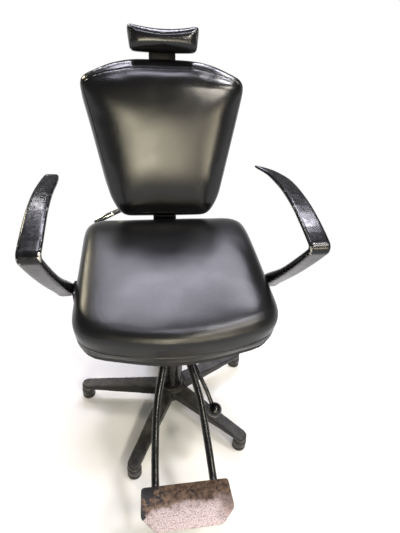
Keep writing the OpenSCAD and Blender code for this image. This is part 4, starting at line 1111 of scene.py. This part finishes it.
    def build(self) -> bpy.types.Object:
        bm = self.form()
        bm = self.swell(bm)
        smooth(bm, [v for v in bm.verts if self.height(v.co) > self.edge_height * MM], self.tauten)
        bm = run_modifiers(bm, ("SUBSURF", {"levels": 1, "render_levels": 1}))
        self.dress_corners(bm)
        self.fit_outline(bm)
        self.draw_dip(bm)
        self.roll_over(bm)
        self.sew(bm)
        piece = settle(self.name, bm, self.finish, self.body, [self.node], sharp=80.0)
        return piece


@dataclass
class StarBase:
    """Cast star and its glides. Sizes in millimetres."""

    arms: int = 5
    turn: float = 27.0
    glide_circle: float = 285.0
    glide_d: float = 42.0
    glide_h: float = 44.0

    def build(self) -> None:
        """Makes the star and the glides."""
        bm = cast_skin("star_base", 2.2, 5)
        settle("cast_star", bm, BASE_COAT, Body.BASE, ["star_base"], sharp=60.0)
        settle("turned_glides", self.glides(), GLIDE_NYLON, Body.BASE, ["floor_glides"])

    def glides(self) -> BMesh:
        """Five round glides, each turned from one profile with a grip ring round its foot."""
        r, h = self.glide_d / 2, self.glide_h
        profile = [
            (0, 0), (r - 3, 0), (r - 0.8, 1), (r, 4), (r, 12), (r - 1.2, 13.5), (r - 1.2, 15.5), (r, 17),
            (r, h - 9), (r - 1.5, h - 4), (r - 5, h - 0.6), (r - 7, h), (0, h),
        ]
        bm = bmesh.new()
        verts = [bm.verts.new((x * MM, 0, z * MM)) for x, z in profile]
        edges = [bm.edges.new(pair) for pair in zip(verts, verts[1:])]
        bmesh.ops.spin(
            bm, geom=verts + edges, cent=(0, 0, 0), axis=(0, 0, 1), angle=math.tau, steps=40, use_merge=True
        )
        bmesh.ops.remove_doubles(bm, verts=bm.verts, dist=FINE_WELD)
        bmesh.ops.recalc_face_normals(bm, faces=bm.faces)
        first = [*bm.verts, *bm.edges, *bm.faces]
        bmesh.ops.translate(bm, verts=bm.verts, vec=(self.glide_circle * MM, 0, 0))
        about = Matrix.Rotation(math.radians(self.turn), 3, "Z")
        bmesh.ops.rotate(bm, verts=bm.verts, cent=(0, 0, 0), matrix=about)
        for k in range(1, self.arms):
            copied = bmesh.ops.duplicate(bm, geom=first)["geom"]
            moved = [g for g in copied if isinstance(g, bmesh.types.BMVert)]
            about = Matrix.Rotation(math.tau * k / self.arms, 3, "Z")
            bmesh.ops.rotate(bm, verts=moved, cent=(0, 0, 0), matrix=about)
        return bm


@dataclass
class Pump:
    """Pump housing, its head and the hand lever. Sizes in millimetres."""

    azimuth: float = -63.0
    lever_z: float = 324.0
    plunger_r: float = 66.0
    fork_end: float = 14.0
    knob_r: float = 231.0
    knob_drop: float = 111.0
    knob_run: float = 20.0
    knob_rise: float = 17.0
    knob_share: float = 3.7
    rod_d: float = 12.0

    def build(self) -> None:
        """Makes the housing, the head and the lever."""
        lever, base = Body.PUMP_LEVER, Body.BASE
        EdgedPiece("pump_tube", "pump_housing", 0.8, 2, TUBE_COAT, base, Slot.BASE_PAINT).build()
        EdgedPiece("pump_casting", "pump_head", 1.5, 3, body=base).build()
        EdgedPiece("lever_block", "lever_fork", 1.2, 3, body=lever).build()
        settle("bent_lever", self.rod(), TUBE_COAT, lever, ["lever_rod"])
        settle("lever_ball", open_node("lever_knob"), PHENOLIC, lever, ["lever_knob"])

    def rod(self) -> BMesh:
        """The bent rod of the lever, from its fork to the ball."""
        end, z, kz = self.plunger_r + self.fork_end, self.lever_z, self.lever_z - self.knob_drop
        run, rise, share = self.knob_run, self.knob_rise, self.knob_share
        side_view = [
            (self.plunger_r + 1, z), (end - 6, z), (end + 1, z), (end + 8, z), (end + 28, z - 16),
            (self.knob_r - 79, kz + 66), (self.knob_r - 44, kz + 41), (self.knob_r - run, kz + rise),
            (self.knob_r - run / share, kz + rise / share),
        ]
        turn = Matrix.Rotation(math.radians(self.azimuth), 3, "Z")
        return swept([turn @ Vector((r * MM, 0, h * MM)) for r, h in side_view], self.rod_d, sides=20)


@dataclass
class SeatFrame:
    """Swivel hub, plates, rails and brackets under the seat, and the gas spring's cylinder."""

    def build(self) -> None:
        """Makes each steel piece with its edges broken."""
        for piece in (
            EdgedPiece("turned_swivel_hub", "swivel_hub", 1.2),
            EdgedPiece("pressed_centre_plate", "centre_plate", 1.0),
            EdgedPiece("box_rails", "frame_rails", 0.7),
            EdgedPiece("steel_arm_angles", "arm_angles", 1.0),
            EdgedPiece("milled_foot_clamp", "footrest_clamp", 1.2),
            EdgedPiece("milled_saddles", "plate_saddles", 1.0),
            EdgedPiece("welded_hinge_bracket", "hinge_bracket", 0.8),
            EdgedPiece("welded_strut_bracket", "strut_bracket", 0.7),
            EdgedPiece("spring_cylinder", "gas_cylinder", 0.8, 3, TUBE_COAT, Body.GAS_CYLINDER),
        ):
            piece.build()


@dataclass
class Seat:
    """Seat cushion on its board. Sizes in millimetres."""

    board_top: float = 459.3
    front_x: float = 263.0
    front_y: float = -190.0
    rear_x: float = 254.0
    rear_y: float = 296.0
    welt_h: float = 26.0
    boxing_h: float = 84.0

    def build(self) -> None:
        """Makes the cushion."""
        foot = Vector((0, 0, self.board_top * MM))
        up = Vector((0, 0, 1))
        seams = [Seam(foot + up * self.welt_h * MM, up, 0, 60, depth=1.5)]
        for side in (-1, 1):
            corner = Vector((side * (self.front_x - 22), self.front_y - 2, self.board_top)) * MM
            toward = Vector((side, -1.25, 0)).normalized()
            seams.append(Seam(corner, toward.cross(up), self.welt_h, self.boxing_h, toward=toward, depth=2.0))
        corners = [
            Vector((side * (x - 40), y + turn * 40, self.board_top)) * MM
            for side in (-1, 1)
            for x, y, turn in ((self.front_x, self.front_y, 1), (self.rear_x, self.rear_y, -1))
        ]
        Cushion(
            "seat_upholstery",
            "seat_cushion",
            Body.SEAT,
            SEAT_VINYL,
            foot,
            up,
            seams=tuple(seams),
            corners=tuple(corners),
            gather=0.35,
            gather_top=90.0,
            fall=24.0,
            square=9.0,
            cap=4.0,
            tauten=30,
        ).build()


@dataclass
class Armrests:
    """Two cast arms, worn through their enamel. The size of a face is in millimetres."""

    voxel: float = 2.0
    passes: int = 6

    def build(self) -> None:
        """Makes both arms."""
        for side, node in ((-1, "left_arm"), (1, "right_arm")):
            bm = cast_skin(node, self.voxel, self.passes)
            WearMap(side).mark(bm)
            settle(f"cast_{node}", bm, ARM_ENAMEL, Body.SEAT, [node], sharp=70.0)


@dataclass
class Footrest:
    """Two bent tubes that carry the worn footplate. Sizes in millimetres."""

    tube_d: float = 20.0
    spacing: float = 148.0
    back_y: float = 388.0
    plate_top: float = 187.0
    plate_t: float = 4.0
    top: tuple[float, float, float] = (20.0, -52.0, 387.0)

    def build(self) -> None:
        """Makes the tubes and the plate."""
        z = self.plate_top - self.plate_t - self.tube_d / 2 - 0.5
        x, y, h = self.top
        side, rear = self.spacing / 2, self.back_y
        route = [
            (x, y, h), (x + 18, y - 81, h - 57), (side - 15, -0.54 * rear, z + 102),
            (side - 5, -0.745 * rear, z + 44), (side, -0.955 * rear, z + 4), (side, -rear - 22, z),
            (side, -rear - 76, z),
        ]
        bm = swept([Vector(p) * MM for p in route], self.tube_d, sides=32)
        bmesh.ops.mirror(bm, geom=[*bm.verts, *bm.edges, *bm.faces], axis="X", merge_dist=-1.0)
        bmesh.ops.recalc_face_normals(bm, faces=bm.faces)
        settle("bent_foot_tubes", bm, TUBE_COAT, Body.SEAT, ["footrest_tubes"])
        EdgedPiece("worn_footplate", "footplate", 1.2, 3, PLATE_STEEL, slot=Slot.WORN_PLATE).build()


@dataclass
class Backrest:
    """Back cushion, its cover and the hardware on it. Sizes in millimetres."""

    lean: float = 18.0
    foot_y: float = 288.0
    foot_z: float = 573.0
    belly_y: float = 26.0
    shoulder_x: float = 247.0
    shoulder_h: float = 404.0
    boxing_h: float = 55.0

    def place(self) -> Matrix:
        """Turns the back's own place (across, straight behind, up the back) into the frame's."""
        shift = Matrix.Translation((0, self.foot_y * MM, self.foot_z * MM))
        return shift @ Matrix.Rotation(math.radians(-self.lean), 4, "X")

    def outward(self) -> Vector:
        """The direction that the back's face looks in."""
        return self.place().to_3x3() @ Vector((0, -1, 0))

    def build(self) -> None:
        """Makes the cushion, the cover and the hardware behind it."""
        foot = self.place() @ Vector((0, self.belly_y * MM, 0))
        out = self.outward()
        shoulders = [
            self.place() @ (Vector((side * (self.shoulder_x - 36), self.belly_y, self.shoulder_h - 26)) * MM)
            for side in (-1, 1)
        ]
        Cushion(
            "back_upholstery",
            "back_cushion",
            Body.BACK,
            BACK_VINYL,
            foot,
            out,
            seams=(Seam(foot + out * self.boxing_h * MM, out, 0, 200, depth=1.3, width=4.0),),
            corners=tuple(shoulders),
            gather=0.5,
            gather_top=self.boxing_h,
            roll=26.0,
            cap=5.0,
            tauten=26,
        ).build()
        chromed = (CHROME, Body.RELEASE, Slot.CHROMED_STEEL)
        for piece in (
            EdgedPiece("moulded_back_cover", "back_cover", 1.2, 3, COVER_ABS, Body.BACK, Slot.COVER_PLASTIC),
            EdgedPiece("bent_back_strip", "back_strip", 0.8, body=Body.BACK),
            EdgedPiece("bar_socket", "headrest_socket", 1.0, body=Body.BACK),
            EdgedPiece("chromed_release_lever", "release_lever", 1.0, 3, *chromed),
            EdgedPiece("chromed_release_grip", "release_grip", 2.0, 4, *chromed),
            EdgedPiece("star_clamp_knob", "clamp_knob", 1.2, 3, COVER_ABS, Body.CLAMP_KNOB, Slot.KNOB_PLASTIC),
        ):
            piece.build()


@dataclass
class Headrest:
    """Headrest cushion, its bar and bracket. Sizes in millimetres."""

    back: Backrest
    belly_y: float = 14.0
    end_seam_x: float = 92.0

    def build(self) -> None:
        """Makes the cushion and its steel."""
        foot = self.back.place() @ Vector((0, self.belly_y * MM, 0))
        ends = [foot + ACROSS * side * self.end_seam_x * MM for side in (-1, 1)]
        Cushion(
            "headrest_upholstery",
            "headrest_cushion",
            Body.HEADREST,
            HEAD_VINYL,
            foot,
            self.back.outward(),
            voxel=3.0,
            cap=4.0,
            start_inset=1.0,
            seams=tuple(Seam(end, ACROSS, 3, 80, depth=1.4, width=3.6) for end in ends),
            foam_wave=0.3,
            dip=9.0,
            tauten=6,
            edge_height=8.0,
            fit_height=3.0,
        ).build()
        EdgedPiece("flat_headrest_bar", "headrest_bar", 0.7, body=Body.HEADREST_POST).build()
        EdgedPiece("folded_headrest_bracket", "headrest_bracket", 0.7, body=Body.HEADREST).build()


@dataclass(frozen=True)
class SoftBox:
    """A soft lamp, placed by the direction it is seen in from the chair.

    Azimuth 0 is behind the chair and 90 at its +X side; sizes and distance are in metres.
    """

    name: str
    azimuth: float
    elevation: float
    distance: float
    width: float
    height: float
    radiance: float
    colour: str

    def build(self, aim: Vector) -> None:
        """Adds the lamp, turned towards a point.

        Args:
            aim: The point that it lights.
        """
        a, e = math.radians(self.azimuth), math.radians(self.elevation)
        away = Vector((math.cos(e) * math.sin(a), math.cos(e) * math.cos(a), math.sin(e)))
        data = bpy.data.lights.new(self.name, "AREA")
        data.shape = "RECTANGLE"
        data.size, data.size_y = self.width, self.height
        data.energy = self.radiance * math.pi * self.width * self.height
        data.color = linear(self.colour)[:3]
        lamp = bpy.data.objects.new(self.name, data)
        bpy.context.scene.collection.objects.link(lamp)
        lamp.location = aim + away * self.distance
        lamp.rotation_mode = "QUATERNION"
        lamp.rotation_quaternion = away.to_track_quat("Z", "Y")
        lamp.visible_camera = False


# Daylight from the windows is warm, and the ceiling's tubes are a little blue beside it
LAMPS = (
    SoftBox("front_window", 184, 18, 3.6, 1.0, 0.85, 16.0, "#fff6d7"),
    SoftBox("front_wall", 169, 17, 3.6, 0.85, 0.95, 6.0, "#fff3d8"),
    SoftBox("front_side_lamp", 152, 14, 3.6, 0.3, 1.3, 18.0, "#fff3d4"),
    SoftBox("ceiling_strip", 0, 52, 3.6, 1.1, 0.36, 36.0, "#f0eeff"),
    SoftBox("left_ceiling_lamp", -18.5, 46, 3.6, 0.24, 0.5, 26.0, "#f0eeff"),
    SoftBox("right_ceiling_lamp", 20, 45, 3.6, 0.4, 0.45, 40.0, "#f0eeff"),
    SoftBox("overhead_strip", 180, 84, 3.2, 1.2, 0.45, 13.0, "#eeecff"),
    SoftBox("rear_side_lamp", 37.5, 46, 3.6, 0.42, 0.42, 50.0, "#f4f2ff"),
    SoftBox("rear_left_lamp", -21.5, 35, 3.6, 0.11, 0.13, 90.0, "#fdfbff"),
    SoftBox("crown_lamp", -25, 67, 3.5, 0.6, 0.5, 24.0, "#f4f2ff"),
    SoftBox("side_ceiling_lamp", 98, 65, 3.5, 0.4, 0.4, 90.0, "#fbf9ff"),
    SoftBox("left_window", -42, 30, 3.6, 0.3, 0.7, 48.0, "#fff3d4"),
    SoftBox("front_ceiling_lamp", 153, 40, 3.6, 0.75, 0.3, 50.0, "#fff8ea"),
    SoftBox("front_corner_lamp", 129, 50, 3.6, 0.7, 0.3, 55.0, "#fff8ea"),
)


@dataclass
class Studio:
    """Pale floor, soft lamps and the camera. Places in metres, angles in degrees, lens in millimetres."""

    camera_place: tuple[float, float, float] = (-0.0970, -0.8824, 1.2357)
    yaw: float = 10.8
    pitch: float = 36.4
    roll: float = 4.2
    lens: float = 27.6
    sensor: float = 36.0
    aim: tuple[float, float, float] = (0.0, 0.05, 0.6)
    floor_r: float = 40.0

    def build(self) -> None:
        """Makes the camera, the lamps, the world and the floor."""
        bpy.context.scene.view_settings.view_transform = "Standard"
        self.camera()
        for lamp in LAMPS:
            lamp.build(Vector(self.aim))
        self.world()
        self.floor()

    def camera(self) -> None:
        """Places the camera at the viewing angle."""
        yaw, pitch, roll = (math.radians(v) for v in (self.yaw, self.pitch, self.roll))
        ahead = Vector((math.sin(yaw) * math.cos(pitch), math.cos(yaw) * math.cos(pitch), -math.sin(pitch)))
        right = Vector((math.cos(yaw), -math.sin(yaw), 0))
        up = right.cross(ahead)
        across = math.cos(roll) * right + math.sin(roll) * up
        upright = -math.sin(roll) * right + math.cos(roll) * up
        turned = Matrix((across, upright, -ahead)).transposed().to_4x4()
        data = bpy.data.cameras.new("camera")
        data.sensor_width = self.sensor
        data.sensor_fit = "AUTO"
        data.lens = self.lens
        camera = bpy.data.objects.new("camera", data)
        camera.matrix_world = Matrix.Translation(self.camera_place) @ turned
        bpy.context.scene.collection.objects.link(camera)
        bpy.context.scene.camera = camera

    def world(self) -> None:
        """White backdrop; mirrors show it along the horizon and the dimmer room above it."""
        world = bpy.data.worlds.new("room")
        world.use_nodes = True
        tree = world.node_tree
        tree.nodes.clear()
        way = add_node(tree, "TexCoord", out="Generated")
        up = add_node(tree, "SeparateXYZ", way, out="Z")
        dimmer = add_node(tree, "MapRange", up, 0.1, 0.5, 0.3, 0.14)
        room = add_node(tree, "Background", dimmer, 1.0)
        white = add_node(tree, "Background", WHITE, 1.0)
        ray = add_node(tree, "LightPath").node.outputs
        mirrored = add_node(tree, "Math", ray["Is Glossy Ray"], ray["Is Transmission Ray"], **MOST)
        horizon = add_node(tree, "MapRange", up, 0.0, 0.09, 1.0, 0.0)
        near = add_node(tree, "Math", mirrored, horizon, **TIMES)
        shown = add_node(tree, "Math", ray["Is Camera Ray"], near, **MOST)
        add_node(tree, "OutputWorld", add_node(tree, "MixShader", shown, room, white))
        bpy.context.scene.world = world

    def floor(self) -> None:
        """Plain pale floor."""
        bm = bmesh.new()
        bmesh.ops.create_circle(bm, cap_ends=True, segments=96, radius=self.floor_r)
        mesh = bpy.data.meshes.new("floor")
        bm.to_mesh(mesh)
        bm.free()
        floor = bpy.data.objects.new("floor", mesh)
        mesh.materials.append(FLOOR_PAINT.material())
        bpy.context.scene.collection.objects.link(floor)


def main() -> None:
    """Builds the looks in order."""
    logging.basicConfig(level=logging.INFO, format="%(message)s")
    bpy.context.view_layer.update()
    Studio().build()
    for finish, nodes in CAD_FINISHES.items():
        for node in nodes:
            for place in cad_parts[node].material_slots:
                place.material = finish.material()
    back = Backrest()
    for part in (StarBase(), Pump(), SeatFrame(), Seat(), Armrests(), Footrest(), back, Headrest(back)):
        part.build()


if __name__ == "__main__":
    main()
